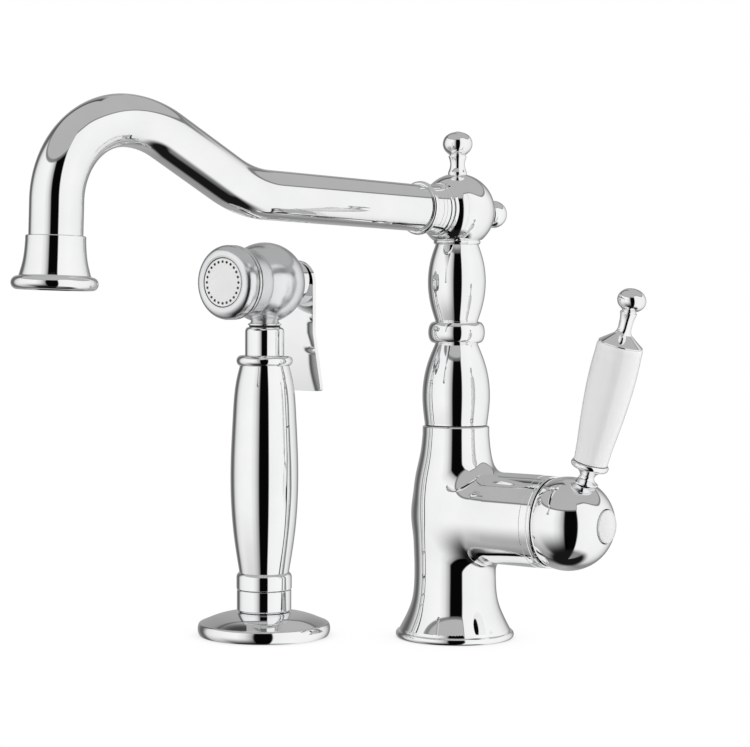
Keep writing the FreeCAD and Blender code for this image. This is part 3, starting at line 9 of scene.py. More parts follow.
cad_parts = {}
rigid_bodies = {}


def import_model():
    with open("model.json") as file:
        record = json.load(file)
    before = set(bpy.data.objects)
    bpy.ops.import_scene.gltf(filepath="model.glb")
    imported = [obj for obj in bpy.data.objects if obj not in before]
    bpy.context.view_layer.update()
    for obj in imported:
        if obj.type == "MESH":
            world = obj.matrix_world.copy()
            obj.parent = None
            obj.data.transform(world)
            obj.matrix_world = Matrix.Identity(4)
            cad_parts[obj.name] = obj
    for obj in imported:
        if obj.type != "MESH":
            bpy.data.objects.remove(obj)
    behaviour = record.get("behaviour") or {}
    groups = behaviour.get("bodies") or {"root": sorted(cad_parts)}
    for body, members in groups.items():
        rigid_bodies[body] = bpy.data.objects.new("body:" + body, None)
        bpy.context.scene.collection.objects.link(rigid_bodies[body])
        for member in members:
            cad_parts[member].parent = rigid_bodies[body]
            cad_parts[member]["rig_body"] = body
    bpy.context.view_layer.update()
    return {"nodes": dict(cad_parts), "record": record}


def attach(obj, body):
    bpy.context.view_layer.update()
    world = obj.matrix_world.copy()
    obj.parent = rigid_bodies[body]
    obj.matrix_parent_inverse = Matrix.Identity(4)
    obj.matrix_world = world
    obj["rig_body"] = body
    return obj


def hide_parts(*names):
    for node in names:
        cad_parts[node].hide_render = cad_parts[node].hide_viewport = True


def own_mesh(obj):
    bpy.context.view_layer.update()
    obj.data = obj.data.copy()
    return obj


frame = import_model()

# A chrome kitchen mixer with a swivel spout, a side lever with a porcelain grip, and a hand spray in
# its own deck flange. Outlines are in millimetres, (radius, height) about a piece's own axis, and
# repeat the part's sizes. Meshes are in metres.

MM = 0.001
UP = Vector((0, 0, 1))
EDGE = 0.3              # softening of a turned edge
AROUND = 128            # facets around a turned piece
BAR_AROUND = 96         # facets around the spout
WIRE_AROUND = 12        # facets around a spring's wire
COIL_SPOTS = 28         # spots along one turn of a spring
COIL_CLOSE = 0.4        # how much closer a spring's end turns lie
ARC_STEP = 3.0          # degrees between the points of a round step
ARC_FACETS = 8          # fewest facets of a round step
CURVE_STEPS = 14        # facets between two given points of a free step
SMOOTH_TURN = 0.12      # a corner that turns less than this, in radians, needs no softening
CORNER_ROOM = 0.45      # share of the nearest points' distance that a softened corner may take
CORNER_FACETS = 5
MERGE_GAP = 2e-6        # metres
FLAT_ANGLE = math.radians(0.5)
CREASE_ANGLE = math.radians(25)
NET_ROUNDS = 8          # rounds of moving a netted piece's spots onto its surface
BATCH = 20000           # spots whose normals are read at once
TINY = 1e-6
ON_AXIS = 1e-4          # a smaller radius is a point on the axis
NORMALS = {}            # the round normals of each piece at given spots, by name


# Nodes


def add_node(tree, kind, inputs=None, **settings):
    """A new node, its inputs by name or number either set to a value or linked to a socket."""
    node = tree.nodes.new(kind)
    for name, value in settings.items():
        setattr(node, name, value)
    for name, value in (inputs or {}).items():
        if isinstance(value, bpy.types.NodeSocket):
            tree.links.new(value, node.inputs[name])
        else:
            node.inputs[name].default_value = value
    return node


def shape_tree(name, inputs):
    """A new geometry tree, the node of its inputs, and their identifiers by name."""
    tree = bpy.data.node_groups.new(name, "GeometryNodeTree")
    face = tree.interface
    face.new_socket("Geometry", in_out="OUTPUT", socket_type="NodeSocketGeometry")
    names = {label: face.new_socket(label, in_out="INPUT", socket_type=kind).identifier
             for label, kind in inputs.items()}
    return tree, tree.nodes.new("NodeGroupInput").outputs, names


def end_tree(tree, shape, finish):
    """Close a geometry tree with a real mesh in its finish."""
    real = add_node(tree, "GeometryNodeRealizeInstances", {"Geometry": shape})
    paint = add_node(tree, "GeometryNodeSetMaterial",
                     {"Geometry": real.outputs["Geometry"], "Material": finish})
    add_node(tree, "NodeGroupOutput", {"Geometry": paint.outputs["Geometry"]})


# Shapes


def arc(middle, end):
    """A round step of an outline, through middle to end."""
    return ("arc", middle, end)


def curve(*points):
    """A free step of an outline, smooth through points."""
    return ("curve", points)


def arc_points(start, middle, end):
    """Points on the circle through three points, after the first."""
    (ax, ay), (bx, by), (cx, cy) = start, middle, end
    d = 2 * (ax * (by - cy) + bx * (cy - ay) + cx * (ay - by))
    a2, b2, c2 = ax * ax + ay * ay, bx * bx + by * by, cx * cx + cy * cy
    ox = (a2 * (by - cy) + b2 * (cy - ay) + c2 * (ay - by)) / d
    oy = (a2 * (cx - bx) + b2 * (ax - cx) + c2 * (bx - ax)) / d
    radius = math.hypot(ax - ox, ay - oy)
    first = math.atan2(ay - oy, ax - ox)
    half = math.remainder(math.atan2(by - oy, bx - ox) - first, 2 * math.pi)
    rest = math.remainder(math.atan2(cy - oy, cx - ox) - first - half, 2 * math.pi)
    sweep = half + rest
    count = max(ARC_FACETS, math.ceil(abs(math.degrees(sweep)) / ARC_STEP))
    turns = [first + sweep * k / count for k in range(1, count + 1)]
    return [(ox + radius * math.cos(t), oy + radius * math.sin(t)) for t in turns]


def spline_points(points, steps=CURVE_STEPS):
    """Points on a natural cubic spline through points, after the first."""
    spans = [math.dist(a, b) for a, b in zip(points, points[1:])]
    size = len(points)
    bends = []
    for axis in (0, 1):
        value = [p[axis] for p in points]
        slope = [(value[i + 1] - value[i]) / spans[i] for i in range(size - 1)]
        upper = [0.0] * size
        right = [0.0] * size
        for i in range(1, size - 1):
            pivot = 2 * (spans[i - 1] + spans[i]) - spans[i - 1] * upper[i - 1]
            upper[i] = spans[i] / pivot
            right[i] = (6 * (slope[i] - slope[i - 1]) - spans[i - 1] * right[i - 1]) / pivot
        second = [0.0] * size
        for i in range(size - 2, 0, -1):
            second[i] = right[i] - upper[i] * second[i + 1]
        bends.append(second)
    out = []
    for i, span in enumerate(spans):
        for k in range(1, steps + 1):
            b = k / steps
            a = 1 - b
            spot = []
            for axis in (0, 1):
                low, high = bends[axis][i], bends[axis][i + 1]
                bow = ((a ** 3 - a) * low + (b ** 3 - b) * high) * span * span / 6
                spot.append(a * points[i][axis] + b * points[i + 1][axis] + bow)
            out.append(tuple(spot))
    return out


def runs_of(steps):
    """The outline's steps as runs of points, each run smooth in itself."""
    runs = []
    here = steps[0]
    for step in steps[1:]:
        if step[0] == "arc":
            run = arc_points(here, step[1], step[2])
        elif step[0] == "curve":
            run = spline_points([here, *step[1]])
        else:
            run = [step]
        runs.append([here, *run])
        here = run[-1]
    return runs


def heading(x, y):
    """The direction (x, y) at length 1."""
    length = math.hypot(x, y)
    return (x / length, y / length)


def travel(run):
    """Directions of travel at a run's points."""
    ways = [heading(b[0] - a[0], b[1] - a[1]) for a, b in zip(run, run[1:])]
    between = [heading(a[0] + b[0], a[1] + b[1]) for a, b in zip(ways, ways[1:])]
    at_point = [ways[0], *between, ways[-1]]
    if len(run) > 3:
        for end, near in ((0, 1), (-1, -2)):
            way, beside = ways[end], at_point[near]
            at_point[end] = heading(2 * way[0] - beside[0], 2 * way[1] - beside[1])
    return at_point


def corner_samples(here, after, edge):
    """Samples that lead from one run into the next, around the corner between them."""
    (before, _), (corner, way_in) = here[-2:]
    (_, way_out), (beyond, _) = after[:2]
    if corner[0] < ON_AXIS:
        return [(corner, way_in if abs(way_in[0]) > abs(way_out[0]) else way_out)]
    turn = math.acos(max(-1.0, min(1.0, way_in[0] * way_out[0] + way_in[1] * way_out[1])))
    if turn < SMOOTH_TURN:
        return [(corner, heading(way_in[0] + way_out[0], way_in[1] + way_out[1]))]
    room = min(math.dist(before, corner), math.dist(beyond, corner)) * CORNER_ROOM
    back = min(edge * math.tan(turn / 2), room)
    start = (corner[0] - back * way_in[0], corner[1] - back * way_in[1])
    end = (corner[0] + back * way_out[0], corner[1] + back * way_out[1])
    bend = []
    for k in range(CORNER_FACETS + 1):
        t = k / CORNER_FACETS
        spot = tuple((1 - t) ** 2 * s + 2 * t * (1 - t) * c + t * t * e
                     for s, c, e in zip(start, corner, end))
        bend.append((spot, heading(*((1 - t) * a + t * b for a, b in zip(way_in, way_out)))))
    return bend


def softened(steps, closed, edge):
    """Samples of an outline as (point, direction of travel), with its corners rounded by edge."""
    runs = runs_of(steps)
    if closed and math.dist(runs[-1][-1], runs[0][0]) > TINY:
        runs.append([runs[-1][-1], runs[0][0]])
    samples = [list(zip(run, travel(run))) for run in runs]
    out = []
    for index, run in enumerate(samples):
        out.extend(run[1 if closed or index else 0:-1])
        if closed or index < len(samples) - 1:
            out.extend(corner_samples(run, samples[(index + 1) % len(samples)], edge))
        else:
            out.append(run[-1])
    return out


def axis_frame(origin, direction):
    """Matrix whose Z runs along direction from origin, given in millimetres."""
    z = Vector(direction).normalized()
    side = Vector((0, 1, 0)) if abs(z.y) < 0.9 else Vector((1, 0, 0))
    x = side.cross(z).normalized()
    y = z.cross(x)
    turn = Matrix((x, y, z)).transposed().to_4x4()
    return Matrix.Translation(Vector(origin) * MM) @ turn


def mesh_piece(name, points, faces, normals=None):
    """A new object at the origin, smooth, with the given normals."""
    mesh = bpy.data.meshes.new(name)
    mesh.from_pydata(points, [], faces)
    mesh.validate()
    for face in mesh.polygons:
        face.use_smooth = True
    if normals:
        mesh.normals_split_custom_set_from_vertices(normals)
    piece = bpy.data.objects.new(name, mesh)
    bpy.context.scene.collection.objects.link(piece)
    return piece


def turned(name, place, *steps, edge=EDGE):
    """A piece turned from an outline, which closes on the axis or, with a bore, onto its own start."""
    closed = steps[0][0] > 0
    samples = softened(steps, closed, edge)
    spots = [spot for spot, way in samples]
    area = sum(a[0] * b[1] - b[0] * a[1] for a, b in zip(spots, spots[1:] + spots[:1]))
    if area <= 0:
        samples = [(p, (-w[0], -w[1])) for p, w in reversed(samples)]
    NORMALS[name] = lambda spots: round_normals(spots, place, samples)
    spin = place.to_3x3()
    points, normals, rows = [], [], []
    for (radius, height), way in samples:
        on_axis = radius < ON_AXIS
        row = []
        for k in range(1 if on_axis else AROUND):
            angle = 2 * math.pi * k / AROUND
            out = Vector((math.cos(angle), math.sin(angle), 0))
            points.append(place @ ((out * radius + UP * height) * MM))
            lean = UP * (1 if way[0] < 0 else -1) if on_axis else out * way[1] - UP * way[0]
            normals.append(spin @ lean)
            row.append(len(points) - 1)
        rows.append(row)
    faces = []
    pairs = list(zip(rows, rows[1:]))
    if closed:
        pairs.append((rows[-1], rows[0]))
    for low, high in pairs:
        for k in range(AROUND):
            after = (k + 1) % AROUND
            face = [low[k % len(low)], low[after % len(low)], high[after % len(high)], high[k % len(high)]]
            face = list(dict.fromkeys(face))
            if len(face) > 2:
                faces.append(face)
    return mesh_piece(name, points, faces, normals)


def round_bar_nodes():
    """Geometry nodes that make a round bar along a piece's own line, and their inputs by name."""
    tree, sizes, names = shape_tree("round_bar", {
        "Line": "NodeSocketGeometry", "Bar radius": "NodeSocketFloat", "Facets around": "NodeSocketInt",
        "Finish": "NodeSocketMaterial"})
    line = add_node(tree, "GeometryNodeMeshToCurve", {"Mesh": sizes["Line"]})
    ring = add_node(tree, "GeometryNodeCurvePrimitiveCircle",
                    {"Radius": sizes["Bar radius"], "Resolution": sizes["Facets around"]})
    bar = add_node(tree, "GeometryNodeCurveToMesh",
                   {"Curve": line.outputs["Curve"], "Profile Curve": ring.outputs["Curve"],
                    "Fill Caps": True})
    smooth = add_node(tree, "GeometryNodeSetShadeSmooth", {"Geometry": bar.outputs["Mesh"]})
    end_tree(tree, smooth.outputs["Geometry"], sizes["Finish"])
    return tree, names


ROUND_BAR, BAR_INPUTS = round_bar_nodes()


def swept(name, spots, radius, finish, around=BAR_AROUND):
    """A round bar along spots in millimetres, closed at both ends."""
    line = bpy.data.meshes.new(name)
    line.from_pydata([spot * MM for spot in spots], [(i, i + 1) for i in range(len(spots) - 1)], [])
    piece = bpy.data.objects.new(name, line)
    bpy.context.scene.collection.objects.link(piece)
    bar = piece.modifiers.new("bar", "NODES")
    bar.node_group = ROUND_BAR
    bar[BAR_INPUTS["Bar radius"]] = radius * MM
    bar[BAR_INPUTS["Facets around"]] = around
    bar[BAR_INPUTS["Finish"]] = finish
    return made_plain(piece)


def coil(name, place, radius, wire, low, high, turns):
    """A steel wire spring with close end turns between two heights of an axis."""
    count = turns * COIL_SPOTS
    spots = []
    for k in range(count + 1):
        share = k / count
        angle = 2 * math.pi * turns * share
        climb = share - COIL_CLOSE * math.sin(2 * math.pi * share) / (2 * math.pi)
        height = low + wire + (high - low - 2 * wire) * climb
        out = Vector((math.cos(angle), math.sin(angle), 0))
        spots.append((place @ ((out * radius + UP * height) * MM)) / MM)
    return swept(name, spots, wire, STEEL, around=WIRE_AROUND)


def edged_copy(name, node, edge):
    """A merged copy of a CAD solid with its sharp edges rounded."""
    piece = bpy.data.objects.new(name, frame["nodes"][node].data.copy())
    bpy.context.scene.collection.objects.link(piece)
    piece.data.materials.clear()
    shape = bmesh.new()
    shape.from_mesh(piece.data)
    bmesh.ops.remove_doubles(shape, verts=shape.verts, dist=MERGE_GAP)
    bmesh.ops.dissolve_limit(shape, angle_limit=FLAT_ANGLE, verts=shape.verts, edges=shape.edges)
    shape.to_mesh(piece.data)
    shape.free()
    if piece.data.has_custom_normals:
        piece.data.attributes.remove(piece.data.attributes["custom_normal"])
    bevel = piece.modifiers.new("edge", "BEVEL")
    bevel.width = edge * MM
    bevel.segments = 3
    bevel.limit_method = "ANGLE"
    bevel.angle_limit = CREASE_ANGLE
    bevel.harden_normals = True
    for face in piece.data.polygons:
        face.use_smooth = True
    return made_plain(piece)


def built_up(first, *others):
    """A turned piece with others added to it or cut from it, each (piece, "UNION" or "DIFFERENCE").

    Every face keeps the round normals of the piece that it came from.
    """
    marks = {}
    for piece, way in ((first, "UNION"), *others):
        mark = bpy.data.materials.new("mark_" + piece.name)
        piece.data.materials.clear()
        piece.data.materials.append(mark)
        marks[mark.name] = (NORMALS[piece.name], 1 if way == "UNION" else -1)
    for piece, way in others:
        cut = first.modifiers.new(piece.name, "BOOLEAN")
        cut.operation = way
        cut.solver = "EXACT"
        cut.object = piece
        cut.material_mode = "TRANSFER"
    made_plain(first)
    for piece, _ in others:
        bpy.data.objects.remove(piece)
    mesh = first.data
    count = len(mesh.loops)
    spots = np.empty(len(mesh.vertices) * 3)
    mesh.vertices.foreach_get("co", spots)
    corner = np.empty(count, dtype=int)
    mesh.loops.foreach_get("vertex_index", corner)
    spots = spots.reshape(-1, 3)[corner]
    source = np.empty(count, dtype=int)
    for face in mesh.polygons:
        face.use_smooth = True
        source[face.loop_start:face.loop_start + face.loop_total] = face.material_index
    normals = np.zeros((count, 3))
    for index, mark in enumerate(mesh.materials):
        normals_at, sense = marks[mark.name]
        mine = np.nonzero(source == index)[0]
        normals[mine] = sense * normals_at(spots[mine])
    mesh.normals_split_custom_set(normals.tolist())
    for name in marks:
        bpy.data.materials.remove(bpy.data.materials[name])
    return first


def round_normals(spots, place, samples):
    """Normals of a turned surface at spots on it."""
    back = np.array(place.inverted())
    local = spots @ back[:3, :3].T + back[:3, 3]
    radius = np.hypot(local[:, 0], local[:, 1]) / MM
    out = local[:, :2] / np.maximum(radius * MM, 1e-9)[:, None]
    outline = np.array([p for p, w in samples])
    lean = np.array([(w[1], -w[0]) for p, w in samples])
    start, span = outline[:-1], np.diff(outline, axis=0)
    length = np.maximum((span ** 2).sum(1), 1e-12)
    flat = np.stack([radius, local[:, 2] / MM], 1)
    picked = np.zeros((len(spots), 2))
    for low in range(0, len(spots), BATCH):
        part = flat[low:low + BATCH]
        along = np.clip(((part[:, None] - start) * span).sum(2) / length, 0, 1)
        gap = ((start + along[..., None] * span - part[:, None]) ** 2).sum(2)
        best = gap.argmin(1)
        share = along[np.arange(len(part)), best][:, None]
        picked[low:low + BATCH] = lean[best] * (1 - share) + lean[best + 1] * share
    normals = np.column_stack([out * picked[:, :1], picked[:, 1]])
    normals = normals @ np.array(place.to_3x3()).T
    return normals / np.linalg.norm(normals, axis=1)[:, None]


def netted(name, gap, low, high, cell):
    """A closed piece around the spots where gap, (distance, slope) in millimetres, is below zero."""
    axes = [np.arange(a, b + cell, cell) for a, b in zip(low, high)]
    grid = np.stack(np.meshgrid(*axes, indexing="ij"), -1)
    inside = gap(grid.reshape(-1, 3))[0].reshape(grid.shape[:3]) < 0
    for axis in range(3):
        ends = [slice(None)] * 3
        ends[axis] = [0, -1]
        inside[tuple(ends)] = False
    size = np.array(inside.shape) - 1
    filled = np.sum([inside[i:i + size[0], j:j + size[1], k:k + size[2]]
                     for i in (0, 1) for j in (0, 1) for k in (0, 1)], 0)
    cells = np.argwhere((filled > 0) & (filled < 8))
    number = np.full(size, -1)
    number[tuple(cells.T)] = np.arange(len(cells))
    spots = np.array(low) + (cells + 0.5) * cell
    for _ in range(NET_ROUNDS):
        off, slope = gap(spots)
        move = slope * (off / (slope ** 2).sum(1))[:, None]
        spots = np.where((np.abs(off) < 2 * cell)[:, None], spots - move, spots)
    faces = []
    for axis in range(3):
        one, two = (axis + 1) % 3, (axis + 2) % 3
        here = np.moveaxis(inside, (axis, one, two), (0, 1, 2))
        place = np.moveaxis(number, (axis, one, two), (0, 1, 2))
        crossed = here[:-1, 1:-1, 1:-1] != here[1:, 1:-1, 1:-1]
        for i, j, k in np.argwhere(crossed):
            face = [place[i, j, k], place[i, j + 1, k], place[i, j + 1, k + 1], place[i, j, k + 1]]
            faces.append(face if here[i, j + 1, k + 1] else face[::-1])
    NORMALS[name] = lambda spots: gap(spots / MM)[1]
    return mesh_piece(name, (spots * MM).tolist(), [[int(v) for v in face] for face in faces])


def made_plain(piece):
    """The piece with its modifiers applied to its mesh."""
    bpy.context.view_layer.update()
    seen = piece.evaluated_get(bpy.context.evaluated_depsgraph_get())
    mesh = bpy.data.meshes.new_from_object(seen)
    piece.modifiers.clear()
    piece.data = mesh
    mesh.name = piece.name
    return piece


# Materials


NOISE_RANGE = (0.3, 0.7)    # part of a noise that is spread over a finish
METAL_GRAIN = 60            # patches per metre
WAVE_GRAIN = 45
WAVE_STRENGTH = 0.3
GRAIN_STRENGTH = 0.25
COAT_ROUGHNESS = 0.03
LATHE_MARKS = (1, 1, 14)    # stretch of a finish that shows its turning


def material(name):
    """A new node material, its tree and its surface shader."""
    made = bpy.data.materials.new(name)
    made.use_nodes = True
    return made, made.node_tree, made.node_tree.nodes["Principled BSDF"]


def cloudy(tree, scale, low, high, detail=3.0, stretch=(1, 1, 1)):
    """A noise over the piece, spread between low and high."""
    where = add_node(tree, "ShaderNodeTexCoord")
    turn = add_node(tree, "ShaderNodeMapping", {"Vector": where.outputs["Object"], "Scale": stretch})
    noise = add_node(tree, "ShaderNodeTexNoise",
                     {"Vector": turn.outputs["Vector"], "Scale": scale, "Detail": detail})
    spread = add_node(tree, "ShaderNodeMapRange",
                      {"Value": noise.outputs["Fac"], "From Min": NOISE_RANGE[0],
                       "From Max": NOISE_RANGE[1], "To Min": low, "To Max": high})
    return spread.outputs["Result"]


def shaded(tree, factor, dark, light):
    """A colour between dark and light, by factor from 0 to 1."""
    ramp = add_node(tree, "ShaderNodeValToRGB", {"Fac": factor})
    ramp.color_ramp.elements[0].color = (*dark, 1)
    ramp.color_ramp.elements[1].color = (*light, 1)
    return ramp.outputs["Color"]


def toned(tree, shader, scale, dark, light, stretch=(1, 1, 1)):
    """Let the colour vary between dark and light in patches over the piece."""
    tone = cloudy(tree, scale, 0.0, 1.0, stretch=stretch)
    tree.links.new(shaded(tree, tone, dark, light), shader.inputs["Base Color"])


def uneven(tree, shader, height, depth, strength):
    """A slight unevenness of the surface, depth in metres."""
    bump = add_node(tree, "ShaderNodeBump", {"Strength": strength, "Distance": depth, "Height": height})
    tree.links.new(bump.outputs["Normal"], shader.inputs["Normal"])


def metal(name, dark, light, smooth, rough, wave=0.0, stretch=(1, 1, 1)):
    """A metal between two colours and two roughnesses, with slow waves of a depth in metres."""
    made, tree, shader = material(name)
    shader.inputs["Metallic"].default_value = 1.0
    toned(tree, shader, METAL_GRAIN, dark, light, stretch)
    gloss = cloudy(tree, METAL_GRAIN * 3, smooth, rough, stretch=stretch)
    tree.links.new(gloss, shader.inputs["Roughness"])
    if wave:
        uneven(tree, shader, cloudy(tree, WAVE_GRAIN, 0.0, 1.0, detail=1.0), wave, WAVE_STRENGTH)
    return made


def moulded(name, dark, light, smooth, rough, grain, depth, coat=0.0):
    """Plastic, rubber or glaze between two colours and two roughnesses, its grain's depth in metres."""
    made, tree, shader = material(name)
    toned(tree, shader, grain, dark, light)
    tree.links.new(cloudy(tree, grain * 2, smooth, rough), shader.inputs["Roughness"])
    shader.inputs["Coat Weight"].default_value = coat
    shader.inputs["Coat Roughness"].default_value = COAT_ROUGHNESS
    if depth:
        uneven(tree, shader, cloudy(tree, grain * 8, 0.0, 1.0), depth, GRAIN_STRENGTH)
    return made


CHROME = metal("polished_chrome", (0.90, 0.905, 0.91), (0.945, 0.948, 0.95), 0.012, 0.035, wave=2e-6)
SATIN_CHROME = metal("plated_spray_chrome", (0.80, 0.81, 0.82), (0.86, 0.865, 0.87), 0.19, 0.25)
BRASS = metal("machined_brass", (0.62, 0.45, 0.20), (0.76, 0.60, 0.32), 0.22, 0.38, stretch=LATHE_MARKS)
STEEL = metal("turned_steel", (0.50, 0.50, 0.51), (0.66, 0.66, 0.67), 0.25, 0.40, stretch=LATHE_MARKS)
PORCELAIN = moulded("glazed_porcelain", (0.86, 0.865, 0.86), (0.91, 0.91, 0.905), 0.10, 0.16, 35, 0,
                    coat=0.8)
INDEX_WHITE = moulded("index_enamel", (0.80, 0.80, 0.80), (0.85, 0.85, 0.845), 0.16, 0.20, 25, 0, coat=0.4)
PLATE_WHITE = moulded("plate_plastic", (0.90, 0.90, 0.90), (0.94, 0.94, 0.94), 0.30, 0.40, 120, 3e-6)
GREY_PLASTIC = moulded("moulded_grey", (0.50, 0.51, 0.52), (0.60, 0.61, 0.62), 0.40, 0.55, 160, 6e-6)
RUBBER = moulded("black_rubber", (0.012, 0.012, 0.012), (0.03, 0.03, 0.03), 0.50, 0.65, 220, 8e-6)
DISC_WHITE = moulded("lapped_ceramic", (0.84, 0.83, 0.79), (0.92, 0.91, 0.87), 0.12, 0.20, 90, 0)
FINISH = {"chrome": CHROME, "porcelain": PORCELAIN, "index_satin": INDEX_WHITE, "brass": BRASS,
          "steel": STEEL, "black_rubber": RUBBER, "grey_plastic": GREY_PLASTIC,
          "white_plastic": PLATE_WHITE, "disc_ceramic": DISC_WHITE}


def dressed(piece, finish, slot, *nodes):
    """Give a piece its finish and its body, and hide the solids that it stands for."""
    piece.data.materials.clear()
    piece.data.materials.append(finish)
    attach(piece, frame["nodes"][nodes[0]]["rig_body"])
    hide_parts(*nodes)


def chromed(piece, *nodes):
    """Dress a piece in polished chrome."""
    dressed(piece, CHROME, "chrome", *nodes)


# Axes of the turned pieces

BRANCH_Z = 57.8
DOME_X = 62.5
DOME_RIM_WAY = (0.9952, 0, 0.0977)
LEVER_X = 66.0
LEVER_LEAN = math.radians(15.7)
SPRAY_X, SPRAY_Y = -74.0, -52.0
HEAD_Z = 166.7
MIXER_AXIS = axis_frame((0, 0, 0), UP)
BRANCH_AXIS = axis_frame((0, 0, BRANCH_Z), (1, 0, 0))
DOME_AXIS = axis_frame((DOME_X, 0, BRANCH_Z), DOME_RIM_WAY)
LEVER_AXIS = axis_frame((LEVER_X, 0, BRANCH_Z), (math.sin(LEVER_LEAN), 0, math.cos(LEVER_LEAN)))
SPRAY_AXIS = axis_frame((SPRAY_X, SPRAY_Y, 0), UP)
HEAD_AXIS = axis_frame((SPRAY_X, SPRAY_Y, HEAD_Z), (0, -1, 0))


# Spout: a level run, a low bend, a climb, the crest, the fall and the leg

SPOUT_TURN = math.radians(-8.0)
SPOUT_OUT = Vector((math.sin(SPOUT_TURN), -math.cos(SPOUT_TURN), 0))
SPOUT_RISE = math.radians(1.7)
SPOUT_CLIMB = math.radians(27.0)
SPOUT_FALL = math.radians(-88.2)
HUB_Z = 200.6
TUBE_START = 12.5
TUBE_R = 10.75
TUBE_RUN = 107.88
TUBE_RISE = 36.22
LOW_BEND_R = 55.0
CREST_R = 46.0
FALL_R = 34.5
LEG_LENGTH = 19.684
TUBE_END_UP = 15.5      # from the outlet's rim to the tube's end
RUN_STEPS = 8           # steps along a straight run
BEND_STEP = 1.5         # degrees of a step around a bend


def spout_way(pitch):
    """Direction out along the spout at a pitch above level."""
    return SPOUT_OUT * math.cos(pitch) + UP * math.sin(pitch)


def spout_line():
    """Spots along the spout's centre line, and the direction at its end."""
    pitch = SPOUT_RISE
    spots = [UP * HUB_Z + spout_way(pitch) * TUBE_START]

    def go(length):
        for _ in range(RUN_STEPS):
            spots.append(spots[-1] + spout_way(pitch) * (length / RUN_STEPS))

    def bend(radius, to):
        nonlocal pitch
        count = math.ceil(math.degrees(abs(to - pitch)) / BEND_STEP)
        step = (to - pitch) / count
        chord = 2 * radius * math.sin(abs(step) / 2)
        for _ in range(count):
            spots.append(spots[-1] + spout_way(pitch + step / 2) * chord)
            pitch += step

    go(TUBE_RUN)
    bend(LOW_BEND_R, SPOUT_CLIMB)
    go(TUBE_RISE)
    bend(CREST_R, 0.0)
    bend(FALL_R, SPOUT_FALL)
    go(LEG_LENGTH)
    return spots, spout_way(pitch)


SPOUT_SPOTS, LEG_WAY = spout_line()
SPOUT_AXIS = axis_frame((0, 0, HUB_Z), spout_way(SPOUT_RISE))
REAR_AXIS = axis_frame((0, 0, HUB_Z), -spout_way(SPOUT_RISE))
OUTLET_AXIS = axis_frame(SPOUT_SPOTS[-1] + LEG_WAY * TUBE_END_UP, -LEG_WAY)


# Mixer body, branch and lever

BODY_OUTLINE = [(26.1, 4.1), (22.6, 11), (20.5, 16.7), (19.3, 26), (20.1, 54), (18.7, 77.6), (16.6, 87.6),
                (15.7, 96)]
BRANCH_START = -8
BRANCH_OUTLINE = [(11, BRANCH_START), (14.5, 0), (18.2, 6), (20.2, 13), (21.0, 20), (21.3, 28)]
TEE_BLEND = 8.0         # reach of the smooth join of body and branch
TEE_LOW, TEE_HIGH = (-30, -30, -4), (56, 30, 106)
TEE_CELL = 0.9
OUTLINE_STEPS = 40      # readings between two given points


def outline_reader(points):
    """Radius and its slope at a height, from an outline that stays level past its ends."""
    dense = np.array([points[0], *spline_points(points, OUTLINE_STEPS)])
    slope = np.gradient(dense[:, 0], dense[:, 1])
    slope[[0, -1]] = 0

    def read(height):
        return np.interp(height, dense[:, 1], dense[:, 0]), np.interp(height, dense[:, 1], slope)

    return read


body_radius = outline_reader(BODY_OUTLINE)
branch_radius = outline_reader(BRANCH_OUTLINE)


def tee_gap(spots):
    """Distance of spots from the smooth join of body and branch, and its slope."""
    x, y, z = spots.T
    radius, lean = body_radius(z)
    around = np.maximum(np.hypot(x, y), TINY)
    body_gap = around - radius
    body_slope = np.stack([x / around, y / around, -lean], 1)
    radius, lean = branch_radius(x)
    up = z - BRANCH_Z
    back = np.minimum(x - BRANCH_START, 0)
    reach = np.maximum(np.sqrt(y ** 2 + up ** 2 + back ** 2), TINY)
    branch_gap = reach - radius
    branch_slope = np.stack([back / reach - lean, y / reach, up / reach], 1)
    share = np.maximum(TEE_BLEND - np.abs(body_gap - branch_gap), 0) / TEE_BLEND
    nearer = np.minimum(body_gap, branch_gap) - share ** 2 * TEE_BLEND / 4
    weight = np.where(body_gap < branch_gap, 1 - share / 2, share / 2)[:, None]
    slope = weight * body_slope + (1 - weight) * branch_slope
    return nearer, slope


chromed(turned("foot_ring", MIXER_AXIS,
               (18.05, 0), (27.15, 0), arc((27.9, 1.6), (27.15, 3.2)), (18.05, 3.2)),
        "base_ring")

tee = netted("turned_body", tee_gap, TEE_LOW, TEE_HIGH, TEE_CELL)
below = turned("body_bore", MIXER_AXIS,
               (0, -10), (60, -10), (60, 3.2), (18.05, 3.2), (18.05, 18), (0, 18), edge=0.1)
over = turned("body_mouth", MIXER_AXIS,
              (0, 61), (6.1, 61), (6.1, 86), (10.05, 86), (10.05, 100), (14.6, 100),
              arc((15.38, 99.68), (15.73, 98.8)), (60, 98.8), (60, 120), (0, 120), edge=0.1)
mouth = turned("branch_mouth", BRANCH_AXIS,
               (0, 34), (12.8, 34), (12.8, 44), (18.5, 44), (18.5, 49.2), (40, 49.2), (40, 70), (0, 70),
               edge=0.1)
chromed(built_up(tee, (below, "DIFFERENCE"), (over, "DIFFERENCE"), (mouth, "DIFFERENCE")),
        "mixer_body", "body_foot", "side_branch")

chromed(turned("bonnet_ring", BRANCH_AXIS,
               (12.55, 47.5), (18.45, 47.5), (18.45, 49.2), (21.1, 49.2), (21.1, 52.7), (20.75, 53.05),
               (21.1, 53.4), (21.1, 54.4), (20.19, 54.4), arc((18.6, 51.22), (16.7, 48.6)), (13.39, 48.6),
               arc((16.69, 52.8), (18.5, 57)), (12.55, 57), edge=0.15),
        "bonnet")

